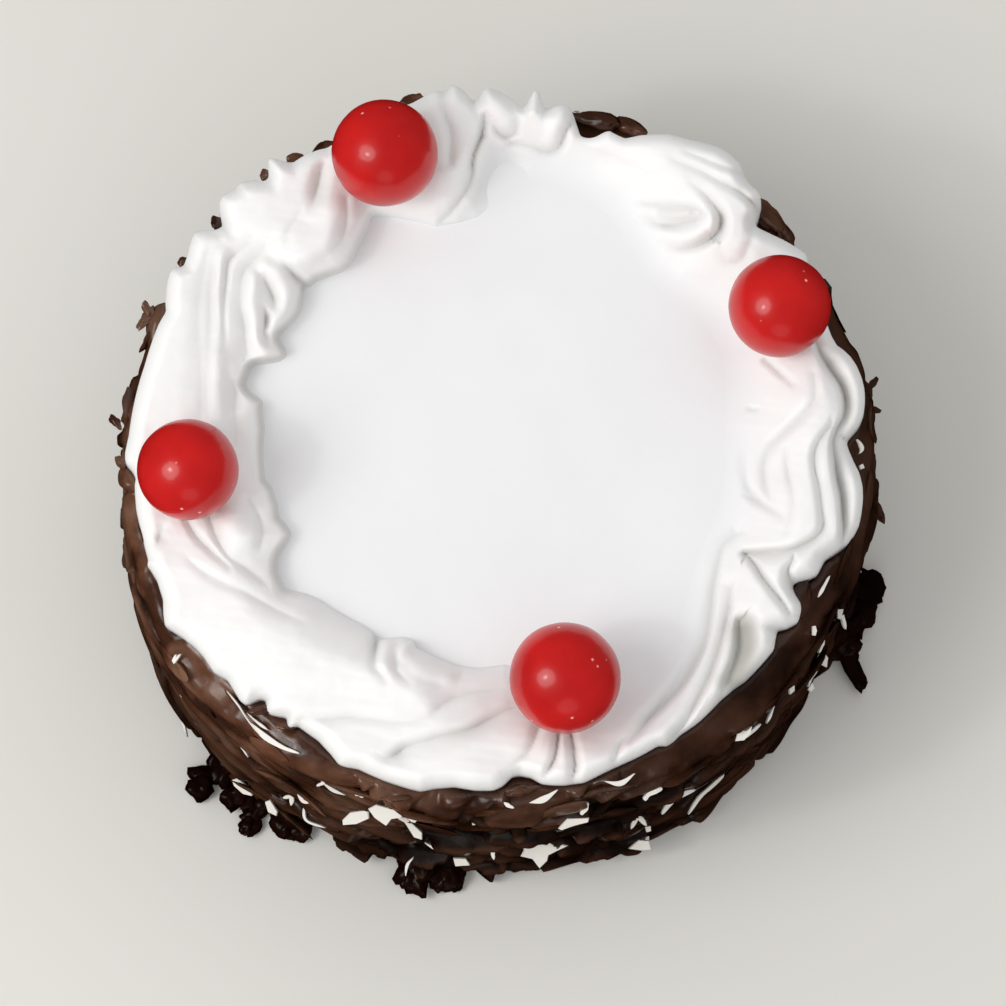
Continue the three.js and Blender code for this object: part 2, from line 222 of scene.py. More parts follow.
class Look:
    """A node material, with the calls that make and link its nodes."""

    def __init__(self, name, **values):
        self.material = bpy.data.materials.new(name)
        self.material.use_nodes = True
        self.tree = self.material.node_tree
        self.shader = settle(self.tree.nodes["Principled BSDF"], **values)
        self.place = self.add("TexCoord")

    def add(self, kind, **values):
        """A new node with its values."""
        return settle(self.tree.nodes.new("ShaderNode" + kind), **values)

    def wire(self, *rows):
        """Makes links, each given as a node, its output, another node and its input."""
        for source, output, target, entry in rows:
            self.tree.links.new(source.outputs[output], target.inputs[entry])

    def noise(self, scale, detail):
        """Noise in the object's own coordinates."""
        made = self.add("TexNoise", Scale=scale, Detail=detail)
        self.wire((self.place, "Object", made, "Vector"))
        return made

    def ramp(self, source, output, *stops):
        """Colours over an output, each given with its position."""
        made = self.add("ValToRGB")
        elements = made.color_ramp.elements
        while len(elements) < len(stops):
            elements.new(0.5)
        for element, (position, colour) in zip(elements, stops):
            element.position = position
            element.color = (*colour, 1)
        self.wire((source, output, made, "Fac"))
        return made

    def mix(self, **colours):
        """A mix of two colours, A and B."""
        return self.add("Mix", data_type="RGBA", **colours)

    def bump(self, noise, strength, distance):
        """Makes the surface stand off and sink with a noise."""
        made = self.add("Bump", Strength=strength, Distance=distance)
        self.wire((noise, "Fac", made, "Height"), (made, "Normal", self.shader, "Normal"))


# Painted shade: the colour that the cream takes in its folds, its hollows and along the foot of a straight
# lip.
PAINTED_SHADE_COLOUR = (0.47, 0.46, 0.42, 1)


def cream_material(name, colour, shade, grain, foot=None):
    """Whipped cream: nearly white, with a fine soft grain.

    A foot colour is what it takes on where it runs into the spread cream. Such cream is also darker in its
    folds by painted shade, from the mesh's painted_shade values, and a little see-through higher up.
    """
    look = Look(
        name, Roughness=0.5, Specular_IOR_Level=0.25,
        Subsurface_Radius=(1.0, 0.9, 0.75), Subsurface_Scale=0.0012,
    )
    tint = look.ramp(look.noise(90, 3), "Fac", (0.35, shade), (0.65, colour))
    look.bump(look.noise(grain, 4), 0.12, 0.00025)
    if not foot:
        look.wire((tint, "Color", look.shader, "Base Color"))
        return look.material
    split = look.add("SeparateXYZ")
    rise = look.add("MapRange", From_Min=(CREAM_TOP + 0.2) * MM, From_Max=(CREAM_TOP + 2.5) * MM)
    blend = look.mix(A=(*foot, 1))
    painted_shade = look.add("Attribute", attribute_name="painted_shade")
    with_painted_shade = look.mix(B=PAINTED_SHADE_COLOUR)
    depth = look.add("Math", operation="MULTIPLY")
    depth.inputs[1].default_value = 0.3
    look.wire(
        (look.place, "Object", split, "Vector"), (split, "Z", rise, "Value"),
        (rise, "Result", blend, "Factor"), (tint, "Color", blend, "B"),
        (painted_shade, "Fac", with_painted_shade, "Factor"), (blend, "Result", with_painted_shade, "A"),
        (with_painted_shade, "Result", look.shader, "Base Color"),
        (rise, "Result", depth, 0), (depth, "Value", look.shader, "Subsurface Weight"),
    )
    return look.material


PAINTED_LIGHT_DIRECTION = (-0.78, -0.62, 0)      # the direction in which painted light makes the chocolate lighter


def chocolate_material(name, dark, light, gloss=1.0):
    """Chocolate: brown of uneven depth, made lighter by painted light high up at the front left and the back.

    It has a run of colours for its unlit parts and one for its parts in painted light. Painted shade in the
    mesh's hollows darkens both.
    """
    look = Look(name, Specular_IOR_Level=0.35 * gloss, Coat_Weight=0.3 * gloss, Coat_Roughness=0.12)
    cloud = look.noise(85, 4)
    unlit_tint = look.ramp(cloud, "Fac", *zip(np.linspace(0.38, 0.64, len(dark)).tolist(), dark))
    painted_light_tint = look.ramp(cloud, "Fac", *zip(np.linspace(0.46, 0.66, len(light)).tolist(), light))
    # Painted light: the chocolate takes its light run at the front left and the back, the more the higher it
    # is.
    split = look.add("SeparateXYZ")
    towards = look.add("VectorMath", operation="DOT_PRODUCT")
    towards.inputs[1].default_value = PAINTED_LIGHT_DIRECTION
    painted_light_front_left = look.add("MapRange", From_Min=12 * MM, From_Max=56 * MM)
    painted_light_back = look.add("MapRange", From_Min=22 * MM, From_Max=50 * MM, To_Max=0.65)
    painted_light_high_up = look.add("MapRange", From_Min=14 * MM, From_Max=41 * MM, To_Min=0.05)
    lit = look.add("Math", operation="MAXIMUM")
    painted_light = look.add("Math", operation="MULTIPLY")
    tint = look.mix()
    # Painted shade darkens the hollows and gaps between the pieces, towards a third of the darkest colour.
    painted_hollow_shade = look.add("Attribute", attribute_name="painted_hollow_shade")
    with_painted_hollow_shade = look.mix(B=(*(0.3 * np.array(dark[0])).tolist(), 1))
    polish = look.add("MapRange", To_Min=0.24, To_Max=0.42)
    look.wire(
        (look.place, "Object", towards, 0), (towards, "Value", painted_light_front_left, "Value"),
        (look.place, "Object", split, "Vector"),
        (split, "Y", painted_light_back, "Value"), (split, "Z", painted_light_high_up, "Value"),
        (painted_light_front_left, "Result", lit, 0), (painted_light_back, "Result", lit, 1),
        (lit, "Value", painted_light, 0), (painted_light_high_up, "Result", painted_light, 1),
        (painted_light, "Value", tint, "Factor"),
        (unlit_tint, "Color", tint, "A"), (painted_light_tint, "Color", tint, "B"),
        (painted_hollow_shade, "Fac", with_painted_hollow_shade, "Factor"), (tint, "Result", with_painted_hollow_shade, "A"),
        (with_painted_hollow_shade, "Result", look.shader, "Base Color"),
        (look.noise(420, 3), "Fac", polish, "Value"), (polish, "Result", look.shader, "Roughness"),
    )
    look.bump(look.noise(190, 3), 0.35, 0.0012)
    return look.material


def cherry_material():
    """Candied cherry: clear red, waxy, with small pale spots of painted highlight."""
    look = Look(
        "cherry", Roughness=0.36, Specular_IOR_Level=0.28, Coat_Weight=0.4, Coat_Roughness=0.12,
        Subsurface_Weight=0.1, Subsurface_Radius=(1.0, 0.08, 0.06), Subsurface_Scale=0.0015,
    )
    cloud = look.noise(120, 3)
    tint = look.ramp(cloud, "Fac", (0.3, (0.45, 0.003, 0.003)), (0.7, (0.59, 0.007, 0.006)))
    # Painted highlight: small pale spots over the red stand for tiny glints.
    cells = look.add("TexVoronoi", Scale=330)
    painted_glints = look.ramp(cells, "Distance", (0.045, (1, 1, 1)), (0.09, (0, 0, 0)))
    with_painted_glints = look.mix(B=(0.9, 0.45, 0.4, 1))
    look.wire(
        (look.place, "Object", cells, "Vector"), (painted_glints, "Color", with_painted_glints, "Factor"),
        (tint, "Color", with_painted_glints, "A"), (with_painted_glints, "Result", look.shader, "Base Color"),
    )
    look.bump(cloud, 0.15, 0.0004)
    return look.material


def floor_material():
    """A pale floor, with a faint unevenness."""
    look = Look("floor", Roughness=0.7)
    tint = look.ramp(look.noise(6, 2), "Fac", (0.3, (0.72, 0.70, 0.65)), (0.7, (0.75, 0.73, 0.69)))
    look.wire((tint, "Color", look.shader, "Base Color"))
    return look.material


# ---------------------------------------------------------------- piped border

# The border is one mass of cream between two edges. Its folds are given by azimuth in degrees and
# distance from the middle in mm, as they are seen on a level plane at SEEN_AT.
SEEN_AT = 49.0

# Azimuth, distance of the outer edge.
OUTER_EDGE = [
    (0, 51.5), (2, 50.7), (3, 50.5), (4, 50.7), (6, 52.3), (8, 53.2), (10, 53.6), (12, 53.8), (14, 53.7),
    (16, 53.4), (18, 52.8), (19.3, 52.1), (20, 51.5), (22, 51.2), (26, 51.3), (30, 51.6), (33, 52.2),
    (36, 53.6), (38, 52.9), (40, 52.1), (42, 51.2), (44, 50.4), (45, 50.2), (45.6, 51.5), (46.5, 52.8),
    (48, 54), (49, 54.3), (51, 54.3), (52.5, 55), (54, 55.8), (56, 56.1), (58, 56), (62, 54.8),
    (66, 53.8), (68, 52.9), (70, 51.9), (72, 50.6), (73.5, 50.7), (75, 51), (76, 50.5), (77, 49.5),
    (78, 49.1), (79.3, 49), (80, 50), (81, 51.6), (82, 52.8), (83, 53.1), (84.5, 52.8), (85.5, 52.1),
    (86.3, 52), (86.8, 53.6), (87.4, 54.7), (88.4, 54.8), (89, 53.8), (89.4, 52.2), (90.5, 52),
    (91.5, 53), (93, 53.9), (95, 54.6), (96, 54.8), (96.8, 54), (97.3, 53.1), (98.2, 53), (99, 54.3),
    (100.5, 55.5), (101.5, 55.3), (102, 54.7), (104, 55), (106, 54.3), (108, 53.7), (112, 53.6),
    (118, 53), (122, 51.8), (123.5, 51.6), (125, 52), (127, 52.3), (129.5, 52.3), (130.5, 53.2),
    (131.5, 54.5), (132.2, 55.1), (133, 54), (134, 52.7), (135, 52.5), (136, 53.5), (138, 54.7),
    (139.5, 54.5), (141.5, 55.1), (142.5, 54.9), (143.5, 54), (144.3, 53), (145.3, 52), (146.5, 52.4),
    (147.5, 53.6), (149, 54.6), (151, 54.1), (152.5, 53.5), (154.5, 53.1), (155.3, 54), (156, 54.4),
    (157.5, 54.1), (159, 53.6), (161, 52.9), (162.5, 52.2), (165, 52.5), (172, 52.6), (184, 53.5),
    (187, 54.1), (188.5, 54), (189.7, 53.1), (191, 52.7), (192, 53), (196, 53.3), (200, 53.3),
    (204.5, 53.6), (205, 54.1), (205.6, 53.8), (208, 53.5), (211, 53.9), (213, 54.8), (214.7, 55.4),
    (216, 54.9), (218, 54.1), (220, 53.6), (222, 53.4), (225, 53.7), (227.3, 53), (229, 53.4),
    (231, 53.9), (232.3, 53.8), (233, 52), (234, 51.5), (235, 52.6), (236, 52.6), (237.5, 52),
    (238.4, 51.6), (239, 52.6), (239.8, 52.6), (240.3, 51.7), (242, 51.8), (244.5, 52), (247, 52.8),
    (249, 53.7), (250, 53.6), (252, 53.2), (256, 53.5), (260, 53.7), (262, 53.7), (264, 52.9),
    (267, 52.3), (270, 52.5), (273, 52.4), (274.5, 51.8), (276, 50.5), (277.2, 50.4), (279, 50.8),
    (280.5, 51.8), (282.5, 52.2), (284, 52.4), (287, 52.6), (290, 52), (292, 51.7), (294, 51.5),
    (298, 51.2), (300, 51), (301.3, 51.6), (302.5, 51.5), (304, 51.1), (308, 50.9), (310, 50.6),
    (313, 50.2), (315.5, 50.2), (318, 50.5), (325, 50.4), (326.5, 49.7), (328, 49.1), (329, 50),
    (331, 50.9), (333, 50.5), (334.3, 49.8), (334.9, 48.6), (336, 47.6), (337, 48), (338, 49),
    (339.5, 50.1), (342.5, 50.3), (344, 51.3), (346, 52.6), (348, 53.1), (350, 53.5), (352, 53.5),
    (354, 53.4), (356, 53.1), (358, 52.5),
]

# Azimuth, distance of the inner edge.
INNER_EDGE = [
    (0, 31.5), (8, 31.5), (16, 32.5), (26, 34), (36, 33.5), (46, 32), (54, 32), (62, 34), (70, 36.5),
    (78, 38.5), (84, 39.5), (90, 39.5), (95, 36), (99, 34), (104, 33.4), (110, 33.6), (122.5, 38.6),
    (125, 37.3), (128, 36), (131, 34.8), (133, 34.2), (136, 34), (138, 34.4), (142, 35.6), (144.2, 35.7),
    (145.2, 36.1), (147, 35.4), (149, 34.8), (151, 34.4), (154, 34.5), (156, 34.8), (158, 35.3),
    (159, 35.1), (161, 33.5), (163, 33.2), (164.5, 33.8), (166, 35.4), (166.8, 36.7), (168, 37.4),
    (172, 37.5), (173.2, 36.8), (174, 35.8), (175, 34.6), (178, 34.3), (182, 33.8), (188, 34),
    (195, 34.2), (197.5, 33.5), (202, 33.4), (205, 33.8), (207, 33.4), (209.5, 33.1), (211, 33.5),
    (212.5, 34.8), (213.5, 36.1), (215, 37), (217, 37.7), (220.5, 38.2), (221.5, 37.8), (222.5, 37.3),
    (224, 36.5), (227, 35.6), (232, 35), (239, 34.3), (242, 34.3), (243.5, 34.6), (245, 34.5),
    (247, 33.8), (249, 33), (251, 32.8), (252.5, 33), (253.5, 33.7), (257, 33.9), (263, 34.6),
    (269, 34.6), (275, 34), (282, 35), (294, 39), (306, 39), (312, 38), (324, 34), (330, 32.6), (336, 32),
    (342, 32), (350, 31.8),
]

# Azimuth, height of the lip that stands at the inner edge.
LIP_HEIGHT = [
    (0, 0), (95, 0), (99, 0.3), (104, 0.5), (110, 0.8), (116, 1), (121, 1.2), (122.5, 1.6), (125, 2),
    (128, 2.4), (131, 2.6), (138, 2.6), (142, 2.2), (144.2, 2.6), (175, 2.6), (178, 2.4), (209.5, 2.4),
    (211, 2.6), (221.5, 2.6), (222.5, 1.8), (242, 1.8), (243.5, 1.6), (245, 2), (247, 2), (251, 1.6),
    (252.5, 2.2), (269, 2.2), (275, 0.6), (282, 0.4), (294, 0), (350, 0),
]

# Azimuth, width of the rise from the lip to the crest.
RISE_WIDTH = [
    (0, 15), (8, 15), (16, 14), (26, 13), (46, 15), (62, 15), (78, 13), (84, 11), (90, 11), (95, 13),
    (99, 9), (104, 9), (116, 7), (121, 6), (122.5, 5), (142, 5), (144.2, 6), (145.2, 6), (147, 7),
    (149, 8), (159, 8), (161, 9), (164.5, 9), (166, 8), (166.8, 7), (168, 6), (172, 6), (173.2, 7),
    (174, 7), (175, 8), (212.5, 8), (213.5, 7), (220.5, 7), (221.5, 8), (222.5, 5.6), (224, 6.2),
    (227, 6.8), (232, 7.4), (239, 7.4), (243.5, 5.6), (247, 5.6), (249, 6.2), (257, 6.2), (263, 10),
    (275, 12), (282, 12), (288, 11), (294, 13), (300, 12), (330, 12), (342, 14), (350, 14),
]

# Azimuth, height of the crest over the cream face.
CREST_HEIGHT = [
    (0, 7.4), (8, 7.4), (16, 6.8), (26, 6.2), (36, 6.6), (46, 7.6), (54, 8), (62, 6.6), (70, 5),
    (78, 4.4), (84, 5.6), (90, 6), (95, 6.2), (99, 6.6), (104, 7), (110, 6.6), (116, 6), (121, 6),
    (122.5, 6.2), (125, 6.6), (131, 7), (142, 7), (144.2, 6.4), (182, 6.4), (188, 6.2), (197.5, 6.2),
    (202, 6.4), (221.5, 6.4), (222.5, 7), (257, 7), (269, 6.6), (275, 6.2), (282, 6), (288, 6),
    (294, 5.6), (300, 5.4), (306, 5.4), (330, 6.2), (342, 7), (350, 7.4),
]

# Azimuth, the width over which the lip rises from the cream face, and how straight it rises (0 rounded,
# 1 straight).
LIP_SHAPE = [
    (0, 1.4, 0), (118, 1.4, 0), (124, 1.5, 0.5), (143, 1.2, 1), (218, 1.2, 1), (224, 2.4, 0.3),
    (228, 2.9, 0), (240, 2.9, 0), (244, 1.6, 0), (250, 2.4, 0), (256, 3.2, 0), (270, 3.4, 0),
    (285, 2.2, 0), (300, 1.4, 0),
]

# Azimuth, and mm over which the outer edge rounds down.
EDGE_ROUND = [
    (0, 2.7), (16, 2.7), (24, 2.4), (300, 2.6), (312, 3.2), (340, 3.2), (350, 2.7),
]

# Folds between strands: points as azimuth, distance, depth, then the widths of the slopes inside and
# outside.
FOLDS = [
    # fan at the back left
    ([(150.5, 50.2, 0.7), (153, 48.9, 1.3), (156, 47.7, 1.6), (160, 46, 1.6), (164, 44.8, 1.4),
      (168, 43.9, 1.2), (173, 43.1, 1), (180, 42.2, 0.9)], 2.7, 4.5),
    ([(144, 46.8, 0.3), (148, 47.5, 0.9), (150, 47.6, 1.3), (153, 46.4, 1.3), (157, 44.9, 1),
      (161, 43.4, 0.6), (166, 42, 0.3)], 1.8, 2),
    ([(144, 44.6, 0.7), (147, 44.7, 1.1), (150, 44.7, 1.3), (153, 43.7, 1.2), (156, 42.5, 1.3),
      (158, 41.3, 1.4), (160, 40.3, 1.4), (162, 39.6, 1.3), (165, 38.7, 1)], 1.6, 3.8),
    ([(148.4, 44.4, 0.4), (148.8, 42.6, 0.6), (150, 40.6, 1.4), (151.4, 39.1, 1.6),
      (152.8, 38.1, 0.8)], 1.8, 1.6),
    ([(154.6, 39.1, 0.8), (156, 38.4, 1.5), (157.6, 37.9, 1.5), (159.2, 37.6, 1),
      (161.6, 36.4, 0.5)], 1.4, 1.2),
    ([(143.4, 42, 0.4), (144.1, 40, 1.6), (144.5, 38.5, 2.2), (144.6, 37, 2.4)], 1.6, 1.5),
    ([(171, 39.8, 0.3), (174, 38.7, 0.9), (178, 38.3, 0.9), (183, 38, 0.6)], 1.9, 3),
    ([(132.6, 45.6, 0.2), (136, 44.7, 0.35), (138.4, 44.1, 0.45), (140.6, 42.9, 0.2)], 1.2, 1.1),
    ([(125.4, 49.4, 1), (127.4, 47.8, 1.8), (129.4, 46.2, 1.8), (131.4, 45, 0.8)], 2.2, 2),
    ([(125.2, 43, 0.8), (127, 40.8, 1.2), (129.5, 38.9, 1.1), (132, 37.8, 0.8),
      (137, 37.3, 0.3)], 1.6, 2.8), ([(129.8, 52.6, 0.8), (130.4, 50.4, 0.3)], 1.4, 1.2),
    ([(134.5, 52.7, 1.2), (134.9, 50.4, 0.4)], 1.6, 1.5),
    ([(139.3, 54.6, 0.5), (139, 52.4, 0.2)], 1.4, 1.2),
    ([(145.3, 52.2, 1.5), (145.8, 49.8, 0.5)], 1.9, 1.8),
    ([(154.2, 53.2, 1), (154.8, 51.2, 0.4)], 1.5, 1.4),
    ([(147.1, 51.4, 0.5), (147.6, 50.6, 0.5)], 1.6, 1.5),
    # by the left cherry
    ([(199, 46.7, 1.2), (203, 46, 1.3), (206, 45, 1.3), (208, 44.3, 1.1), (211, 43.3, 0.7)], 1.2, 1.1),
    ([(200, 43.4, 1.1), (204, 43.3, 1.2), (206.5, 43.2, 1.1), (209.5, 42.7, 0.9), (213, 41.4, 0.8),
      (217, 40.2, 0.6)], 1.9, 1.1),
    ([(206.5, 48.2, 0.2), (209, 47.3, 0.6), (212, 45.9, 0.8), (214.5, 44.6, 0.8), (217, 43.1, 0.7),
      (222, 41.4, 0.5), (225, 40.5, 0.5), (228.4, 39.4, 0.2)], 1.1, 1.3),
    ([(200.6, 50.3, 1), (201.4, 50.9, 1.7), (202.2, 51.5, 1)], 2.1, 2.1),
    ([(199, 37.2, 0.5), (203, 36.6, 0.7), (207, 36.9, 0.7), (209.5, 37.9, 0.5)], 1.1, 1.4),
    # broad ribbons at the front left
    ([(239, 51.6, 0.5), (241, 50.2, 0.7), (244, 48.6, 0.9), (247, 46.9, 0.9), (250, 45.9, 0.7),
      (254, 45.1, 0.5), (257.5, 44.2, 0.4), (260.5, 42.6, 0.5), (262.5, 40.8, 0.8), (265, 39.3, 1),
      (269, 38.1, 0.8), (273, 37.6, 0.4), (276, 37.4, 0.1)], 2, 1.6),
    ([(256, 50, 1), (257, 48.9, 1.8), (258, 47.9, 1.8), (260, 46.8, 1.3), (263, 45.4, 1.4),
      (266, 44.4, 1.7), (269, 43.4, 1.9), (272, 42, 1.7), (276, 40.6, 1.1), (280, 40, 0.5),
      (284, 40, 0.1)], 1.5, 3.4),
    ([(243.6, 34.4, 2), (244.6, 36, 2.2), (245.6, 37.4, 1.3), (247, 38.7, 0.8),
      (249.8, 39.7, 0.4)], 1.3, 1.3),
    ([(248.8, 34.8, 0.3), (250.3, 36.6, 0.6), (251.5, 37.9, 0.7), (254.5, 38.8, 0.3)], 1.3, 1.5),
    ([(233.6, 51.8, 0.9), (234.6, 50.4, 0.4)], 1, 1),
    ([(238.2, 51.9, 0.9), (238.6, 50.6, 0.3)], 0.9, 0.9),
    # pinched folds under the front cherry
    ([(276.6, 48.6, 0.4), (278.6, 47.2, 0.9), (280, 45.5, 1.1), (281.2, 43.6, 1.1)], 1.5, 1.3),
    ([(276.8, 50.6, 1), (277.4, 48.8, 0.4)], 1.3, 1.3),
    ([(281, 50.8, 1.1), (282.5, 49.2, 1.8), (283.6, 47.5, 2), (284.8, 44.6, 2)], 1.1, 1.1),
    ([(284.8, 52.8, 1.4), (286, 50.6, 2.2), (286.6, 48, 2.2), (286.8, 44.6, 2)], 1.5, 1.5),
    ([(292, 51.6, 0.8), (293.4, 49.8, 1.2), (294.8, 48.5, 1), (297, 47.6, 0.4)], 1.2, 1.2),
    # long tail in three strands up to the right
    ([(296, 48.7, 0.9), (298.5, 47.9, 1.6), (301, 46.9, 2.1), (305, 45.9, 2.2), (309, 45, 2.2),
      (313.5, 43.7, 2.3), (318, 42.2, 2.3), (323, 39.9, 2.3), (327.5, 38, 2.1), (332, 36.8, 1.7),
      (336.7, 36, 1.3), (340, 36.8, 0.8), (342, 37.8, 0.3)], 2.3, 1),
    ([(301.8, 51.4, 1.8), (305.3, 50.2, 2.1), (309, 48.5, 2.1), (314.2, 46.4, 2.1), (319.7, 44.1, 2.1),
      (325.3, 41.9, 2), (329.6, 40.1, 1.1)], 2.2, 0.9),
    ([(311, 50.6, 1.2), (314, 49.4, 1.8), (317, 48, 2.1), (319.2, 47.2, 2.3), (322, 45.8, 2.3),
      (325.2, 43.9, 1.6)], 1.1, 3.8),
    # folds under the zigzag
    ([(331.2, 49.6, 1), (332.4, 47.7, 1.8), (333.6, 45.4, 2.1), (335, 43, 2.4), (336.4, 41.4, 2.6),
      (337.6, 39.6, 2.5)], 1.3, 1.3),
    ([(337.6, 39.4, 2.2), (338.6, 40.6, 2.4), (340, 42.4, 2.2), (342, 45, 2), (344, 46.8, 1.9),
      (346, 48, 1.8), (348, 48.4, 1.7), (351, 47.7, 1.5), (355, 46.7, 1.4), (358, 45.9, 1.6),
      (361, 45.7, 1.7), (363.5, 46.4, 1.5), (366, 48, 1)], 1.3, 2.2),
    ([(334.6, 50, 0.9), (336, 47.8, 1.9), (338, 46, 1.8), (340.5, 45.9, 1.5),
      (342.4, 45.4, 1.2)], 1.4, 1.2),
    ([(327.8, 49.6, 1.4), (327.4, 47.6, 0.9), (326.6, 46, 0.5)], 1.4, 1.4),
    # zigzag at the right, piped to and fro
    ([(344.6, 52, 2), (348, 51.4, 3), (351, 50.7, 3.2), (354, 50, 3.2), (357, 49.1, 3.2), (360, 48.6, 3),
      (363, 48.3, 2.6), (365.5, 48.9, 2.6), (367.6, 50, 3), (370, 50.5, 3.2), (373, 50.3, 3.2),
      (376, 49.3, 3), (379, 48.6, 2.6), (382, 48.4, 1.6)], 1, 3.4),
    ([(362.6, 51, 1.6), (364, 49.9, 1.9), (365, 48.8, 2)], 1.1, 1.1),
    ([(345, 43.6, 0.3), (350, 43.5, 0.5), (353, 43, 0.6), (356, 42.2, 0.9), (358.5, 41.7, 0.8),
      (362, 41.4, 0.4)], 1.2, 1.2),
    ([(350.5, 40.1, 0.4), (353, 39.2, 0.9), (356, 38.7, 1), (359, 38.6, 1), (362, 39.3, 1),
      (364, 40.5, 1.1), (366, 42, 1.2), (368, 43.8, 1.2), (370, 45.5, 1.1), (372, 46.4, 0.8),
      (376, 46.9, 0.4)], 1.5, 1.3),
    ([(347.6, 42.6, 0.4), (348.8, 40, 1), (350, 38, 1.4), (351.5, 36.7, 1.5), (353, 35.9, 1.2),
      (356, 35.2, 0.8), (360, 34.9, 0.4)], 1.4, 1.4), ([(370.7, 37.7, 0.4), (371, 36.2, 0.6)], 0.7, 0.7),
    ([(375, 43.3, 0.5), (378, 41.8, 1), (381, 40.6, 1)], 1.1, 1.3),
    # scroll at the back right
    ([(45, 51, 1.5), (47, 51.9, 2.2), (50, 52.1, 1.9), (52, 51.8, 1.2), (55, 51.3, 0.8), (58, 51, 0.5),
      (63, 50.2, 0.3)], 1.3, 1.6),
    ([(51.8, 54.6, 0.8), (55, 53.8, 1), (58, 53, 0.7), (62, 52.4, 0.3)], 1.2, 1.6),
    ([(58, 48.6, 0.3), (55, 48.4, 0.8), (52, 47.8, 1.5), (50, 47, 2.3), (48.7, 45.6, 2.6),
      (48.4, 44, 2.6), (48.8, 42.4, 2.2), (49.6, 41, 1.6), (51, 39.7, 1), (53, 38.8, 0.4)], 1.4, 2.1),
    ([(63, 42.2, 0.3), (60, 43.5, 0.6), (57, 44.8, 0.8), (54.6, 45.7, 1), (53.2, 45.7, 1.2),
      (53.2, 44.4, 1.4), (54.3, 43, 1.5), (56, 41.5, 1.4), (58.6, 40.4, 0.8), (61, 40.3, 0.3)], 1.3, 1.3),
    ([(46.6, 50, 0.5), (44, 48.6, 0.6), (42.6, 46.8, 0.6), (41.4, 44.8, 0.6), (42.6, 43, 0.4),
      (45.5, 43.4, 0.2)], 1.6, 1.6), ([(66, 46.6, 0.15), (72, 46.8, 0.3), (78, 47, 0.2)], 1.6, 1.6),
    # short dabs drawn outwards at the back
    ([(80.6, 51.5, 1.2), (82, 48.8, 1.5), (82.3, 46.8, 1.5), (83, 45.4, 1.2), (85, 44.8, 0.9),
      (88, 45.3, 0.6), (91.4, 45.6, 0.8)], 1.3, 1.3),
    ([(90.4, 49.6, 0.4), (91, 47.2, 1), (92.6, 46.5, 1.2), (94, 47.2, 1), (95, 48.6, 0.5)], 1.2, 1.5),
    ([(96.3, 50, 1.3), (96.8, 47.3, 2.3), (97.8, 45.5, 2.4), (98.8, 43.8, 2.4), (99.3, 42.2, 2.2),
      (99.6, 40.6, 1.6), (101, 38.5, 1.2), (103, 36.8, 1), (105, 35.5, 0.8), (108, 34.2, 0.5)], 1.5, 1.2),
    ([(97.6, 53.6, 1.5), (98, 51.6, 0.9), (97.4, 49.6, 0.5)], 1.2, 1.2),
    ([(102.6, 55, 0.8), (103, 51.6, 0.9), (102.4, 47.6, 0.8), (103.4, 43, 0.8)], 1.6, 1.6),
    ([(86.2, 52.4, 0.9), (86.4, 50.8, 0.3)], 1, 1), ([(89.9, 52.2, 0.9), (90, 50.6, 0.3)], 1, 1),
]

# Swellings, such as the bulbs by two cherries, the front curl, the scroll and the dabs at the back: points
# as azimuth, distance, then the height and the width to either side.
SWELLS = [
    ([(129, 41.5), (133.5, 39.5), (138.5, 40)], 1.9, 6),
    ([(146.4, 43), (146.4, 41), (147.4, 38.8), (150, 37.2), (154, 36.8), (157.6, 37)], 0.9, 1.6),
    ([(149.6, 43.2), (153, 42), (156, 40.4), (159, 38.9), (162, 37.5), (163.8, 36.3)], 1.1, 1.8),
    ([(150, 49), (156, 46.9), (162, 44.9), (168, 42.9), (175, 41.6), (182, 41)], 0.9, 2.2),
    ([(203, 40.4), (206.5, 39)], 1.3, 3.4), ([(224, 46), (232, 46)], 0.5, 5),
    ([(247, 35), (247.8, 37.4)], 0.9, 1.9), ([(252, 34.4), (256, 35.6), (262, 36)], 1, 2.4),
    ([(51.6, 46.6), (50.4, 44.6), (51, 42.4), (53, 40.8), (57, 39.6)], 0.9, 1.9),
    ([(55.5, 44.4), (58, 42.6)], 0.7, 1.3), ([(60.5, 41.8), (63, 41)], 0.5, 1.8),
    ([(93.6, 46), (95.4, 47.4)], 0.8, 1.6), ([(83.6, 52), (84.4, 47)], 0.7, 1.7),
    ([(95.4, 53.6), (93, 49)], 0.8, 2.2), ([(88, 54), (88, 51)], 0.6, 0.9),
]

# Where the mass falls away: points as azimuth, distance, then the depth, the width to either side and
# the painted shade.
HOLLOWS = [
    ([(316.6, 49.3), (319.5, 48.3), (322.4, 46.9), (324.4, 45.2)], 1.8, 3.4, 0.95),
    ([(93, 41.5), (96, 39.5)], 0.7, 4.5, 0.1),
    ([(344, 50.9), (350, 50.8), (357, 49.9), (363, 49.4), (370, 50.8), (377, 50.2)], 1.2, 3, 0.08),
    ([(54.6, 44.6), (58, 42.8)], 0.8, 2.4, 0.25),
]

BORDER_TURNS = 900
BORDER_ROWS = 100
EDGE_DROP = 1.0             # how far the outer edge hangs below the cream face
EDGE_SEEN_AT = 47.2         # level at which the outer edge is seen at the sides
EDGE_SEEN_RISE = 1.9        # how much higher that is at the back, and lower at the front
TUCK = 0.965                # where the underside starts, as a share of the outer edge's distance
BED_SINK = 0.7              # how far the border goes into the spread cream
LOW_LIP = 0.6               # a lip lower than this has a softer rise behind it
SLOPE_AZIMUTH = 228         # where the mass slopes down outwards
SLOPE_DEPTH = 1.3
FOLD_FLOOR = 0.6            # folds cut down to this height over the cream face and no further
FOLD_ROUNDNESS = 1.75       # higher makes the folds narrower and the strands between them flatter
FULL_DEPTH = 3.2            # a fold this deep takes the darkest painted shade
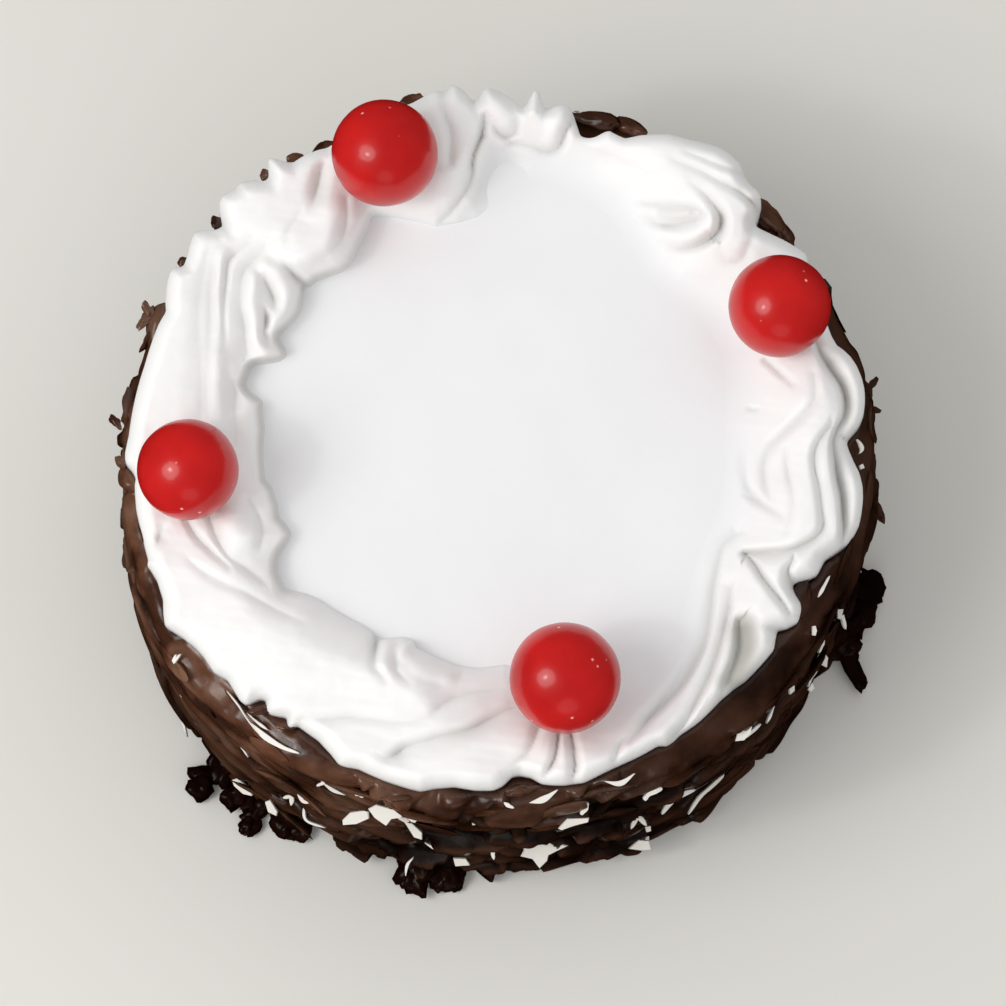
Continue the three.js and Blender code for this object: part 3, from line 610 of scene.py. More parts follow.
# how dark the painted shade of the deepest folds is
FOLD_SHADE = 0.68
LINE_STEP = 0.16            # mm between the points of a fold's line
LINE_REACH = 6.5            # nothing is wider to either side of its line


def around(table, azimuths, column=1, soften=0.35):
    """A column of a table by azimuth, carried all round and softened over so many degrees."""
    rows = np.array([(row[0], row[column]) for row in table], float)
    angles = np.concatenate([rows[:, 0] - 360, rows[:, 0], rows[:, 0] + 360])
    values = np.tile(rows[:, 1], 3)
    offsets = np.linspace(-1.7, 1.7, 9) * soften
    weights = np.exp(-(offsets / soften) ** 2)
    total = sum(w * np.interp(azimuths + o, angles, values) for o, w in zip(offsets, weights))
    return total / weights.sum()


def flat_point(azimuth, distance):
    """Points on a level plane."""
    turn = np.radians(azimuth)
    return np.stack([distance * np.cos(turn), distance * np.sin(turn)], -1)


def to_line(points, rows):
    """For each point, its distance to a curve through the rows, the depth there, and if it is outside.

    Only points near the curve are looked at; the rest are left at a great distance. Rows may have no
    depth, which then is 0.
    """
    rows = np.array(rows, float)
    corners = flat_point(rows[:, 0], rows[:, 1])
    length = np.linalg.norm(np.diff(corners, axis=0), axis=1).sum()
    curve, _ = spline(np.column_stack([corners, rows[:, 2:]]), max(4, int(length / LINE_STEP)))
    low, high = curve[:, :2].min(0) - LINE_REACH, curve[:, :2].max(0) + LINE_REACH
    near = np.flatnonzero(((points > low) & (points < high)).all(1))
    distance = np.full(len(points), 99.0)
    outside = np.zeros(len(points), bool)
    depth = np.zeros(len(points))
    batch = 20000
    for start in range(0, len(near), batch):
        part = near[start:start + batch]
        gap = points[part, None, :] - curve[None, :, :2]
        square = (gap ** 2).sum(2)
        nearest = square.argmin(1)
        distance[part] = np.sqrt(square[np.arange(len(part)), nearest])
        outside[part] = np.hypot(*points[part].T) > np.hypot(*curve[nearest, :2].T)
        if curve.shape[1] > 2:
            depth[part] = curve[nearest, 2]
    return distance, depth, outside


def edge_distance(points, edge):
    """For each point, its distance to a closed edge given as points."""
    tree = kdtree.KDTree(len(edge))
    for i, corner in enumerate(edge):
        tree.insert((corner[0], corner[1], 0), i)
    tree.balance()
    return np.array([tree.find((x, y, 0))[2] for x, y in points])


def rounded(share):
    """The height of a quarter circle, from 0 at its edge to 1."""
    share = np.clip(share, 0, 1)
    return np.sqrt(share * (2 - share))


def border_mass(azimuths, from_inner):
    """The border without its folds: its height over the cream face, and its lip's height and straightness."""
    lip = around(LIP_HEIGHT, azimuths, soften=1.2)
    width = around(RISE_WIDTH, azimuths, soften=2.5)
    crest = around(CREST_HEIGHT, azimuths, soften=2.5)
    share = np.clip(from_inner / width, 0, 1)
    late = share ** 1.35
    soft = late * late * (3 - 2 * late)
    brisk = 1 - (1 - share) ** 1.6
    rise = soft + (brisk - soft) * np.clip(lip / LOW_LIP, 0, 1)
    lip_share = np.clip(from_inner / around(LIP_SHAPE, azimuths, 1, 1.2), 0, 1)
    straight = around(LIP_SHAPE, azimuths, 2, 1.2)
    height = lip * (straight * lip_share + (1 - straight) * rounded(lip_share)) + (crest - lip) * rise
    facing = np.clip(np.cos(np.radians(azimuths - SLOPE_AZIMUTH)), 0, 1)
    height -= SLOPE_DEPTH * facing * np.clip((from_inner - 0.8 * width) / 9, 0, 1)
    return height, lip, straight


def border_height(points, azimuths, inner, outer):
    """The height of the border over the cream face, and how much painted shade each point takes, from 0 to 1.
    """
    from_inner = edge_distance(points, inner)
    from_outer = edge_distance(points, outer)
    height, lip, straight = border_mass(azimuths, from_inner)
    # A line of painted shade runs along the foot of a straight lip.
    painted_shade = 0.5 * straight * np.exp(-((from_inner - 0.45) / 0.55) ** 2)
    for rows, size, half in SWELLS:
        distance, _, _ = to_line(points, rows)
        height += size * np.clip(1 - (distance / half) ** 2, 0, 1) ** 2
    for rows, size, half, shade in HOLLOWS:
        distance, _, _ = to_line(points, rows)
        bowl = np.clip(1 - (distance / half) ** 2, 0, 1) ** 2
        height -= size * bowl
        painted_shade = np.maximum(painted_shade, shade * bowl)
    deepest = np.zeros(len(points))
    for rows, inside_width, outside_width in FOLDS:
        distance, depth, outside = to_line(points, rows)
        slope = np.clip(1 - distance / np.where(outside, outside_width, inside_width), 0, 1)
        deepest = np.maximum(deepest, depth * slope ** FOLD_ROUNDNESS)
        # Each fold takes painted shade by its depth.
        painted_shade = np.maximum(painted_shade, FOLD_SHADE * np.minimum(depth / FULL_DEPTH, 1) * slope ** 2.2)
    height = np.maximum(height - deepest, np.minimum(height, FOLD_FLOOR))
    # The cream is slightly uneven, but where the border runs into the spread cream it takes on its waves,
    # a little below it.
    level = np.column_stack([points, np.zeros(len(points))])
    settled = np.clip(from_inner / np.where(lip > 0.3, 2, 8), 0, 1) ** 2
    height += (0.10 * soft_noise(level, 3, 5.5) + 0.03 * soft_noise(level, 4, 2.0)) * settled
    height += spread_waves(points) * np.clip(1 - from_inner / 5, 0, 1) - 0.02
    edge = rounded(from_outer / around(EDGE_ROUND, azimuths, soften=1.5))
    return (height + EDGE_DROP) * edge - EDGE_DROP, painted_shade


def along_sight(points, heights, seen_at, lowest):
    """Moves points from the plane where they were seen to their own height, along the line of sight."""
    levels = np.maximum(heights, lowest)
    share = (camera_place[2] - levels) / (camera_place[2] - seen_at)
    return camera_place[:2] + (points - camera_place[:2]) * share[:, None]


def spread_waves(points):
    """The faint waves that a palette knife leaves in the spread cream, in mm."""
    level = np.column_stack([points[:, :2], np.full(len(points), CREAM_TOP)])
    inside = np.clip((CREAM_RADIUS - 1.5 - np.hypot(level[:, 0], level[:, 1])) / 4, 0, 1)
    return inside * (0.09 * soft_noise(level, 11, 34) + 0.02 * soft_noise(level, 12, 9))


def border_faces(turns, rows):
    """The faces between closed rings of points, where the last ring joins the first."""
    faces = []
    for row in range(rows):
        a, b = row * turns, (row + 1) % rows * turns
        for i in range(turns):
            j = (i + 1) % turns
            faces.append((a + i, b + i, b + j, a + j))
    return faces


def make_border(material, cherries):
    """The border as one closed skin from its inner to its outer edge, pressed in by the cherries."""
    turns, rows = BORDER_TURNS, BORDER_ROWS
    azimuth = np.arange(turns) * 360 / turns
    inner = around(INNER_EDGE, azimuth)
    outer = around(OUTER_EDGE, azimuth)
    # The rows lie closer together towards the outer edge.
    share = np.linspace(0, 1, rows)
    share = 0.72 * share + 0.28 * np.sin(share * math.pi / 2)
    distance = inner[None, :] + (outer - inner)[None, :] * share[:, None]
    every = np.tile(azimuth, rows)
    points = flat_point(every, distance.ravel())
    fine = np.arange(0, 360, 0.1)
    inner_line = flat_point(fine, around(INNER_EDGE, fine))
    outer_line = flat_point(fine, around(OUTER_EDGE, fine))
    height, painted_shade = border_height(points, every, inner_line, outer_line)
    height += CREAM_TOP
    edge_seen_at = EDGE_SEEN_AT + EDGE_SEEN_RISE * np.sin(np.radians(every))
    lowest = CREAM_TOP + (edge_seen_at - CREAM_TOP) * np.repeat(share ** 3, turns)
    flat = along_sight(points, height, SEEN_AT, lowest)
    skin = np.column_stack([flat, height])
    for middle, radius in cherries:
        away = skin - middle
        gap = np.linalg.norm(away, axis=1)
        inside = (gap < radius) & (gap > 0.1)
        skin[inside] = middle + away[inside] / gap[inside, None] * radius
    under_first = skin[:turns] * (1, 1, 0) + (0, 0, CREAM_TOP - BED_SINK)
    under_last = skin[-turns:] * (TUCK, TUCK, 0) + (0, 0, CREAM_TOP - EDGE_DROP - 0.3)
    points = np.vstack([skin, under_last, under_first])
    made = mesh_object("piped_border", points, border_faces(turns, rows + 2), material)
    return with_values(made, "painted_shade", np.append(painted_shade, np.zeros(2 * turns)))


def make_cream_top(material):
    """The spread cream: flat, with the faint waves that a palette knife leaves."""
    rings, turns = 90, 240
    low = 43.9                  # its underside
    azimuths = np.arange(turns) * 360 / turns
    edge = np.minimum(CREAM_RADIUS, around(OUTER_EDGE, azimuths, soften=1.5) - 1.6)
    shares = np.linspace(0, 1, rings + 1)[1:]
    ring = flat_point(azimuths, edge)
    grid = np.array([(x * share, y * share, CREAM_TOP) for share in shares for x, y in ring])
    grid[:, 2] += spread_waves(grid)
    skirt = np.column_stack([ring, np.full(turns, low)])
    points = np.vstack([grid, skirt, [(0, 0, grid[:turns, 2].mean()), (0, 0, low)]])
    faces = []
    top, under = len(points) - 2, len(points) - 1
    for i in range(turns):
        j = (i + 1) % turns
        faces.append((top, i, j))
        for ring in range(rings):
            a, b = ring * turns, (ring + 1) * turns
            faces.append((a + i, b + i, b + j, a + j))
        faces.append((under, rings * turns + j, rings * turns + i))
    return mesh_object("spread_cream", points, faces, material)


# ---------------------------------------------------------------- cherries

# The middle of each, its radius, and the azimuth of its dimple.
CHERRIES = {
    "cherry_1": ((-19.5, 39.2, 57.5), 7.75, 200),
    "cherry_2": ((39.0, 19.9, 57.5), 7.4, 320),
    "cherry_3": ((-43.6, -10.9, 57.5), 7.2, 20),
    "cherry_4": ((11.6, -37.4, 57.5), 7.8, 110),
}
SEAT_GAP = 0.05             # the border reaches this far into a cherry


def make_cherry(node, material):
    """A candied cherry: a ball with uneven sides and a shallow dimple low on one side."""
    middle, radius, turn = CHERRIES[node]
    points, faces = ball(48, 72)
    stalk = at(turn, 1, -0.6)
    stalk /= np.linalg.norm(stalk)
    dimple = 0.06 * np.exp(-(((1 - points @ stalk) / 0.08) ** 2))
    uneven = 0.006 * soft_noise(points, SEED + turn, 1.6) + 0.0025 * soft_noise(points, SEED + turn + 1, 0.5)
    points *= (radius * (1 - dimple + uneven))[:, None]
    return mesh_object(node + "_candied", points + np.array(middle), faces, material)


# ---------------------------------------------------------------- chocolate side

COAT_TURNS = 840
COAT_ROWS = 118
CORNER = 2.0                # rounding from the wall to the rim
RIM_TOP = 45.4              # height of the coat's rim under its relief
RIM_DEPTH = 7.0             # how far the rim reaches in over the top
STRAIGHT = RIM_TOP - CORNER
BEND_END = STRAIGHT + CORNER * math.pi / 2
COAT_LENGTH = BEND_END + RIM_DEPTH      # along the coat, from the foot up and in
COAT_LIMIT = 58.3           # nothing on the side stands further out
FOOT_LIMIT = 62.6           # the same for the pieces at the foot
SHINGLES = 420              # shaved pieces in the coat
STRIPS = (200, 252)         # azimuths between which they are long rounded strips
CALM = (298, 30)            # azimuths from which and up to which they lie long and calm
FULL_RELIEF = 3.2           # the coat stands off by no more than this before it is scaled
USUAL_RELIEF = 2.3          # where it stands off so far, it has its usual thickness
LEAST_COAT = 0.4            # its thickness where it doesn't stand off at all
RIM_RELIEF = 2.2            # how far the relief may stand up from the rim
LEFT, BACK = 188, 85        # azimuths where the painted shade of its broad hollows is lightest
TOP_LIMIT = 47.4            # no loose piece reaches higher

# Azimuth, usual thickness of the coat, and how far out the chocolate may be seen at the rim.
COAT_SIZES = [
    (0, 3.6, 57.6), (8, 4, 57.9), (16, 4.4, 58.2), (19.5, 3.2, 57), (21, 2, 54.3), (25, 1.6, 53.6),
    (29, 1.6, 53.6), (31, 2.4, 54.9), (35, 2.4, 55.3), (37, 1.6, 52.8), (39, 1.6, 51.6), (41, 1.6, 54.8),
    (45, 1.8, 55.7), (47, 1.8, 55.2), (49, 1.6, 52.5), (69, 1.6, 52), (71, 1.8, 54.2), (75, 1.8, 54.6),
    (79, 1.8, 54.2), (81, 1.6, 53.8), (83, 1.6, 52.5), (105, 1.8, 52.5), (107, 2.6, 56.2), (111, 2.2, 55),
    (115, 2.2, 55), (117, 2, 54), (119, 2, 55), (121, 1.8, 52.4), (123, 1.8, 54.4), (125, 1.6, 53),
    (127, 1.6, 51.5), (127.5, 1.6, 53.9), (129.1, 1.6, 53.9), (129.8, 1.6, 51.6), (132.9, 1.6, 51.6),
    (133.3, 1.6, 54.5), (134.2, 1.6, 54.5), (134.8, 1.6, 51.6), (143.9, 1.6, 51.6), (144.3, 1.6, 54.1),
    (145.3, 1.6, 54.1), (145.9, 1.6, 51.6), (152.3, 1.6, 51.7), (152.7, 1.6, 54.4), (153.6, 1.6, 54.4),
    (154.2, 1.6, 51.8), (159, 1.6, 51.8), (161, 2, 54.8), (165, 2.2, 55.4), (169, 2, 54.3),
    (179, 2.4, 55), (181, 2.6, 56.3), (183, 2.6, 55), (191, 3, 55.8), (197, 3.4, 56.2), (205, 4, 57),
    (213, 4.4, 57.5), (224, 4.2, 57.5), (240, 3.4, 57), (256, 2.8, 57), (275, 2.6, 57), (290, 2.6, 57),
    (300, 3, 57), (308, 3.8, 57.5), (316, 3, 57), (330, 2.8, 57), (345, 3.4, 57.3),
]

coat_azimuths = np.arange(COAT_TURNS) * 360 / COAT_TURNS
coat_lengths = np.linspace(0, COAT_LENGTH, COAT_ROWS)


def coat_reach(azimuth, height):
    """The furthest that the coat may stand out, so that the piped border hides it where it should."""
    drop = np.maximum(RIM_TOP - height, 0)
    back = np.maximum(np.sin(np.radians(azimuth)), 0)
    return np.minimum(around(COAT_SIZES, azimuth, 2, 0.5) + drop * (0.1 + 0.3 * back), COAT_LIMIT)


def shingle(random, strip, calm):
    """The sizes of one shaved piece: half length, half width, slant, lean, bulge, base and tilt."""
    half_long = random.uniform(7, 13) if strip or calm else random.uniform(3, 7.5)
    half_wide = random.uniform(1.3, 2.4) if strip else random.uniform(1.7, 3.6)
    slant = random.normal(0.03, 0.09) if strip else random.normal(0, 0.12 if calm else 0.5)
    lean = random.normal(0.1, 0.15) if strip else random.normal(0.45, 0.35) * (0.4 if calm else 1)
    bulge = random.uniform(0.9, 1.6) if strip else random.uniform(0.1, 0.5)
    return half_long, half_wide, slant, lean, bulge, random.uniform(0.0, 0.8), random.normal(0, 0.07)


def coat_relief(random):
    """How far the coat stands off, over a grid of azimuths and lengths from the foot up and in over the rim.

    Lumps of chocolate run into each other, and shaved pieces lie over them like shingles: most of them
    stand off at their lower edge. Long rounded strips lie round the left of the side, and longer, calmer
    pieces round its right.
    """
    circle = 2 * math.pi * WALL
    run = coat_azimuths / 360 * circle
    level = np.stack([
        np.repeat(WALL * np.cos(run / WALL), COAT_ROWS), np.repeat(WALL * np.sin(run / WALL), COAT_ROWS),
        np.tile(coat_lengths, COAT_TURNS),
    ], 1)
    lumps = 0.4 + 0.35 * soft_noise(level, 21, 13) + 0.12 * soft_noise(level, 22, 5)
    lumps = lumps.reshape(COAT_TURNS, COAT_ROWS)
    relief = lumps + 0.04 * soft_noise(level, 24, 2.2).reshape(lumps.shape)
    for i in range(SHINGLES):
        azimuth = 360 * ((i * GOLDEN_STEP) % 1)
        height = 0.5 + 49 * ((i * HEIGHT_STEP + random.uniform(0, 0.1)) % 1)
        strip = STRIPS[0] < azimuth < STRIPS[1]
        calm = azimuth > CALM[0] or azimuth < CALM[1]
        half_long, half_wide, slant, lean, bulge, base, tilt = shingle(random, strip, calm)
        sizes, turns = random.normal(0, 0.1, 6), random.uniform(0, 2 * math.pi, 6)
        gap = (run - azimuth / 360 * circle + circle / 2) % circle - circle / 2
        columns = np.flatnonzero(np.abs(gap) < half_long * 1.6)
        rows = np.flatnonzero(np.abs(coat_lengths - height) < half_long * 1.2 + half_wide * 1.3)
        x, y = np.meshgrid(gap[columns], coat_lengths[rows] - height, indexing="ij")
        along = x * math.cos(slant) + y * math.sin(slant)
        across = y * math.cos(slant) - x * math.sin(slant)
        angle = np.arctan2(across / half_wide, along / half_long)
        outline = 1 + sum(size * np.cos((k + 2) * angle + turns[k]) for k, size in enumerate(sizes))
        share = np.hypot(along / half_long, across / half_wide) / np.clip(outline, 0.6, 1.4)
        window = np.ix_(columns, rows)
        lift = base - lean * across + tilt * along + bulge * np.sqrt(np.clip(1 - share ** 2, 0, 1))
        lift += 0.6 * (lumps[window] - 0.4) - 9 * np.maximum(share - 0.92, 0)
        relief[window] = np.maximum(relief[window], np.minimum(lift, FULL_RELIEF))
    return np.clip(relief, 0.05, FULL_RELIEF)


def eased(size, limit):
    """A size that closes in on a limit, nearly unchanged while it is small."""
    share = size / np.maximum(limit, 0.01)
    return size / (1 + share ** 3) ** (1 / 3)


def coat_surface(relief):
    """The coat's face as distance and height, over the same grid as its relief."""
    bend = np.clip((coat_lengths - STRAIGHT) / CORNER, 0, math.pi / 2)
    distance = WALL - CORNER + CORNER * np.cos(bend) - np.maximum(coat_lengths - BEND_END, 0)
    height = np.minimum(coat_lengths, STRAIGHT) + CORNER * np.sin(bend)
    out = LEAST_COAT + relief * around(COAT_SIZES, coat_azimuths, soften=2.0)[:, None] / USUAL_RELIEF
    every = np.repeat(coat_azimuths, COAT_ROWS)
    room = coat_reach(every, np.tile(height, COAT_TURNS)).reshape(relief.shape) - distance[None, :]
    distance = distance[None, :] + eased(out, room) * np.cos(bend)[None, :]
    # The rim keeps low where the border lies over it.
    clear = np.clip((distance - around(OUTER_EDGE, coat_azimuths)[:, None] + 0.6) / 1.2, 0, 1)
    height = height[None, :] + eased(relief * 0.7, RIM_RELIEF * clear) * np.sin(bend)[None, :]
    height = np.minimum(height, RIM_TOP - 0.1 + clear * RIM_RELIEF)
    # The side draws in a little just over the table.
    foot = 1 - 0.014 * np.exp(-height / 0.8)
    height[:, 0] = 0
    return distance * foot, height


def coat_skin(surface):
    """The coat as one closed skin: base, side, and the rim that reaches in under the border."""
    distance, height = surface
    turns, rows = distance.shape
    angle = np.arange(turns) * 2 * math.pi / turns
    points = np.stack([distance.T * np.cos(angle), distance.T * np.sin(angle), height.T], 2)
    points = np.vstack([points.reshape(-1, 3), [(0, 0, 0), (0, 0, RIM_TOP - 1)]])
    faces = []
    base, lid, last = len(points) - 2, len(points) - 1, (rows - 1) * turns
    for i in range(turns):
        j = (i + 1) % turns
        faces.append((base, j, i))
        faces.append((lid, last + i, last + j))
        for row in range(rows - 1):
            a, b = row * turns, (row + 1) * turns
            faces.append((a + i, a + j, b + j, b + i))
    return points, faces


def neighbours_top(relief, shifts):
    """The highest relief within some steps of each point of the coat."""
    highest = relief
    for shift in shifts:
        for axis in (0, 1):
            for way in (-shift, shift):
                highest = np.maximum(highest, np.roll(highest, way, axis))
    return highest


def coat_painted_shade(relief):
    """How much painted shade each point of the coat takes, from 0 to 1, by how deep it lies among its
    neighbours, and less near the rim.

    Broad hollows count less at the left and the back, and narrow gaps count everywhere.
    """
    broad = neighbours_top(relief, (1, 2, 4))
    for _ in range(4):
        broad = sum(np.roll(broad, way, axis) for axis in (0, 1) for way in (2, -2)) / 4
    share = 1 - 0.6 * np.clip(2.2 * np.cos(np.radians(coat_azimuths - LEFT)) - 0.8, 0, 1)
    share *= 1 - 0.6 * np.clip(1.6 * np.cos(np.radians(coat_azimuths - BACK)), 0, 1)
    broad = np.clip((broad - relief - 0.25) / 1.5, 0, 1) * share[:, None]
    narrow = np.clip((neighbours_top(relief, (1, 2)) - relief - 0.3) / 0.8, 0, 0.9)
    below_rim = 1 - 0.85 * np.clip((coat_lengths - STRAIGHT + 2.5) / 3, 0, 1)
    return np.maximum(broad, narrow) * below_rim[None, :]


def on_coat(surface, azimuth, height):
    """How far out the coat's face is, at an azimuth in degrees and a height in mm."""
    distance, _ = surface
    column = round((azimuth % 360) / 360 * COAT_TURNS) % COAT_TURNS
    row = round(height / COAT_LENGTH * (COAT_ROWS - 1))
    return float(distance[column, row])


SHARD_SEGMENTS = 24
SHARD_RINGS = 4
SIDE_FLAKES = 64
RIM_FLAKES = 36


def shard(random, surface, azimuth, height, long, wide, slant, lift, curl, tilt):
    """A thin bent flake of chocolate over the coat.

    Half its length, half its width and its lift are drawn between two numbers each, its curl up to one,
    and its slant and tilt round 0 and round one.
    """
    long, wide = random.uniform(*long), random.uniform(*wide)
    slant, lift = random.normal(0, slant), random.uniform(*lift)
    curl, tilt = random.uniform(0, curl), random.normal(tilt, 0.5)
    thickness = random.uniform(0.6, 1.0)
    angle = np.linspace(0, 2 * math.pi, SHARD_SEGMENTS, endpoint=False)
    outline = np.ones(SHARD_SEGMENTS)
    for wave in range(2, 7):
        size = random.normal(0, 0.16 / wave ** 0.7)
        outline += size * np.cos(wave * angle + random.uniform(0, 2 * math.pi))
    outline = np.clip(outline, 0.45, 1.6)
    shares = np.linspace(0, 1, SHARD_RINGS + 1)[1:] ** 0.8
    round_edge = thickness * np.sqrt(np.clip(1 - shares ** 6, 0, 1)) / 2
    bend = random.uniform(0, math.pi)
    turn = math.radians(azimuth)
    stand = on_coat(surface, azimuth, height) + lift

    def place(u, v, edge):
        x, y = u * long, v * wide
        along_bend = u * math.cos(bend) + v * math.sin(bend) * 0.7
        radius = stand + curl * along_bend ** 2 + tilt * v + edge
        run = x * math.cos(slant) - y * math.sin(slant)
        rise = x * math.sin(slant) + y * math.cos(slant)
        around_to = turn + run / WALL
        return np.stack([radius * np.cos(around_to), radius * np.sin(around_to), height + rise], 1)

    rings = [(share, edge) for share, edge in zip(shares, round_edge)]
    rings += [(share, -edge) for share, edge in zip(shares[::-1][1:], round_edge[::-1][1:])]
    none = np.zeros(1)
    points = [place(none, none, thickness / 2)]
    for share, edge in rings:
        points.append(place(share * outline * np.cos(angle), share * outline * np.sin(angle), edge))
    points.append(place(none, none, -thickness / 2))
    return np.vstack(points), tube_faces(len(rings), SHARD_SEGMENTS)


def side_shards(random, surface):
    """Loose flakes over the coat, and some along its rim."""
    parts = []
    for i in range(SIDE_FLAKES):
        azimuth = 360 * ((i * GOLDEN_STEP + 0.3) % 1)
        height = 2 + 40 * ((i * HEIGHT_STEP) % 1)
        parts.append(shard(
            random, surface, azimuth, height, long=(2.5, 6.5), wide=(0.9, 2.4), slant=0.5, lift=(-0.2, 0.5),
            curl=1.2, tilt=0.1,
        ))
    for i in range(RIM_FLAKES):
        azimuth = 360 * ((i * GOLDEN_STEP + 0.1) % 1)
        height = random.uniform(42, RIM_TOP)
        parts.append(shard(
            random, surface, azimuth, height, long=(2, 5), wide=(0.8, 1.8), slant=0.4, lift=(-0.4, 0.4),
            curl=1.0, tilt=0.2,
        ))
    return parts


# Single pieces that stand out at the rim: azimuth, distance, height, half length, half width, slant.
RIM_BITS = [
    (162.2, 55.6, 46.2, 1.5, 0.6, 0.9), (163.4, 54.8, 45.6, 2, 0.8, -0.3),
    (181, 55.6, 46.4, 1.2, 0.6, 0.8), (187.4, 54.8, 46.3, 1, 0.6, 0.5),
    (107.6, 54.9, 46.4, 2.2, 0.9, 0.2), (119.4, 54, 46.4, 1.2, 0.6, 0.7),
    (128.3, 53.3, 46.2, 1.3, 0.8, -0.3), (133.7, 53.8, 46.3, 0.9, 0.8, 0.3),
    (144.8, 53.5, 46.3, 1.1, 0.9, 0.6), (153.1, 53.8, 46.2, 0.9, 0.8, 0.6),
    (77, 52.6, 46.3, 3.6, 1.3, 0.1), (72, 53, 46.3, 2.4, 1.2, -0.1), (45.4, 53.2, 46.2, 3.2, 1.5, -0.15),
    (41, 53.6, 46.2, 2, 1, -0.2), (234, 52.5, 46.8, 1.6, 0.7, 0.8), (238.4, 52.4, 46.7, 1.2, 0.5, 0.5),
    (277, 51.8, 46.6, 2.2, 0.8, 0.1), (335.5, 49.4, 46.6, 2.6, 1.1, 0.3),
]

# Thin pieces that stand off the side at the right, in the same way.
SIDE_BITS = [
    (15.2, 55.2, 40, 1.9, 0.9, 0.35), (15.5, 56.4, 40, 1.3, 0.5, -0.9), (11.5, 55.8, 40, 1.1, 0.5, 1.2),
    (355.4, 56.4, 40, 1.7, 0.6, 0.45),
]

# Pieces that lie on the table against the foot: azimuth, reach from the middle, half width, height.
FOOT_PIECES = [
    (226.5, 62.4, 3, 5), (231, 59.6, 2.6, 6), (235.5, 61.2, 1.7, 3), (240, 58.4, 2.8, 5),
    (262, 58.2, 3, 4), (267, 57.3, 2.2, 3), (345.5, 59.4, 3, 6), (350.5, 60.2, 3.4, 7),
    (355.5, 60.9, 3.2, 5),
]
CHUNKS = 7                  # loose chunks in each of them


def lump(random, middle, azimuth, sizes):
    """An uneven rounded chunk: half sizes along its azimuth, across it and up."""
    points, faces = ball(14, 20)
    seed = int(random.integers(1, 9999))
    points *= (1 + 0.22 * soft_noise(points, seed, 1.3) + 0.09 * soft_noise(points, seed + 1, 0.6))[:, None]
    points *= np.array(sizes)
    return points @ np.array([*axes(azimuth), (0, 0, 1)]) + middle, faces


def single_bits(random, rows):
    """Small pieces, each placed and turned on its own."""
    parts = []
    for azimuth, distance, height, long, wide, slant in rows:
        facing = azimuth + 90 + math.degrees(slant)
        parts.append(lump(random, at(azimuth, distance, height), facing, (long, wide, wide * 0.8)))
    return parts


def foot_lumps(random):
    """The pieces at the foot, each a clump of uneven chunks, and a rod at the right."""
    parts = []
    for azimuth, reach, half, height in FOOT_PIECES:
        for _ in range(CHUNKS):
            size = random.uniform(0.55, 0.95) * half
            out = random.uniform(53.5, reach - size * 0.9)
            beside = azimuth + math.degrees(random.uniform(-0.6, 0.6) * half / out)
            middle = at(beside, out, random.uniform(0.35, 0.6) * size)
            spin = azimuth + random.normal(0, 35)
            parts.append(lump(random, middle, spin, (size * 1.25, size * 0.75, size * 0.6)))
        middle = at(azimuth, reach - half * 0.55, height * 0.3)
        parts.append(lump(random, middle, azimuth, (half * 0.7, half * 0.7, height * 0.3)))
        parts.append(lump(random, at(azimuth, 54.5, height * 0.4), azimuth, (2.6, half * 0.9, height * 0.5)))
    parts.append(lump(random, (56.7, -17.7, 1.2), -57.6, (4.4, 1.2, 1.15)))
    return parts


def trimmed(parts, reach, beyond=None):
    """The pieces kept over the table, inside their reach and, at the top, outside the border.

    With a number beyond, they also stay that close to the coat's own reach.
    """
    kept = []
    for points, faces in parts:
        points = points.copy()
        points[:, 2] = np.clip(points[:, 2], 0.03, TOP_LIMIT)
        radius = np.hypot(points[:, 0], points[:, 1])
        azimuth = np.degrees(np.arctan2(points[:, 1], points[:, 0])) % 360
        wanted = np.minimum(radius, reach)
        if beyond is not None:
            wanted = np.minimum(wanted, coat_reach(azimuth, points[:, 2]) + beyond)
        high = np.clip((points[:, 2] - (RIM_TOP - 0.6)) / 0.8, 0, 1)
        wanted = np.maximum(wanted, (around(OUTER_EDGE, azimuth) - 1.2) * high)
        points[:, :2] *= (wanted / radius)[:, None]
        kept.append((points, faces))
    return kept


# ---------------------------------------------------------------- white pieces

# Shavings: azimuth, distance and height of the middle, half the width, how pointed the ends are (0 square,
# 1 drawn out to a point), then points in mm along the side and up the face.
WHITE_SHAVINGS = [
    (232.7, 54.5, 45.9, 0.13, 0.7, [(-4.6, 1), (-1.9, 0.5), (0.6, -0.2), (3.2, -0.7)]),
    (237.9, 54.5, 45.9, 0.4, 0.9, [(-4, -0.1), (-1.2, -0.5), (1.8, -0.3), (4.4, 0.4)]),
    (275.2, 55.5, 24.8, 0.46, 0.55, [(2.1, 1.3), (0.6, 1.3), (-0.8, 0.7), (-1.7, -0.4), (-1.6, -1.6)]),
    (3.4, 52.5, 45.9, 0.3, 0.6, [(1.2, 0.5), (0.6, 0), (-0.2, -0.3), (-0.9, 0.1)]),
]

# Flat flakes: azimuth, distance and height of the middle, then the corners in mm along the side and up.
WHITE_FLAKES = [
    (0.2, 52.8, 45.9, [(-0.4, 0.2), (0.2, 0.4), (0.5, -0.1), (-0.1, -0.4)]),
    (32.8, 54.6, 45.9, [(-0.9, -0.1), (-0.7, 0.2), (0.6, 0.3), (0.9, 0.1), (0.3, -0.3)]),
]

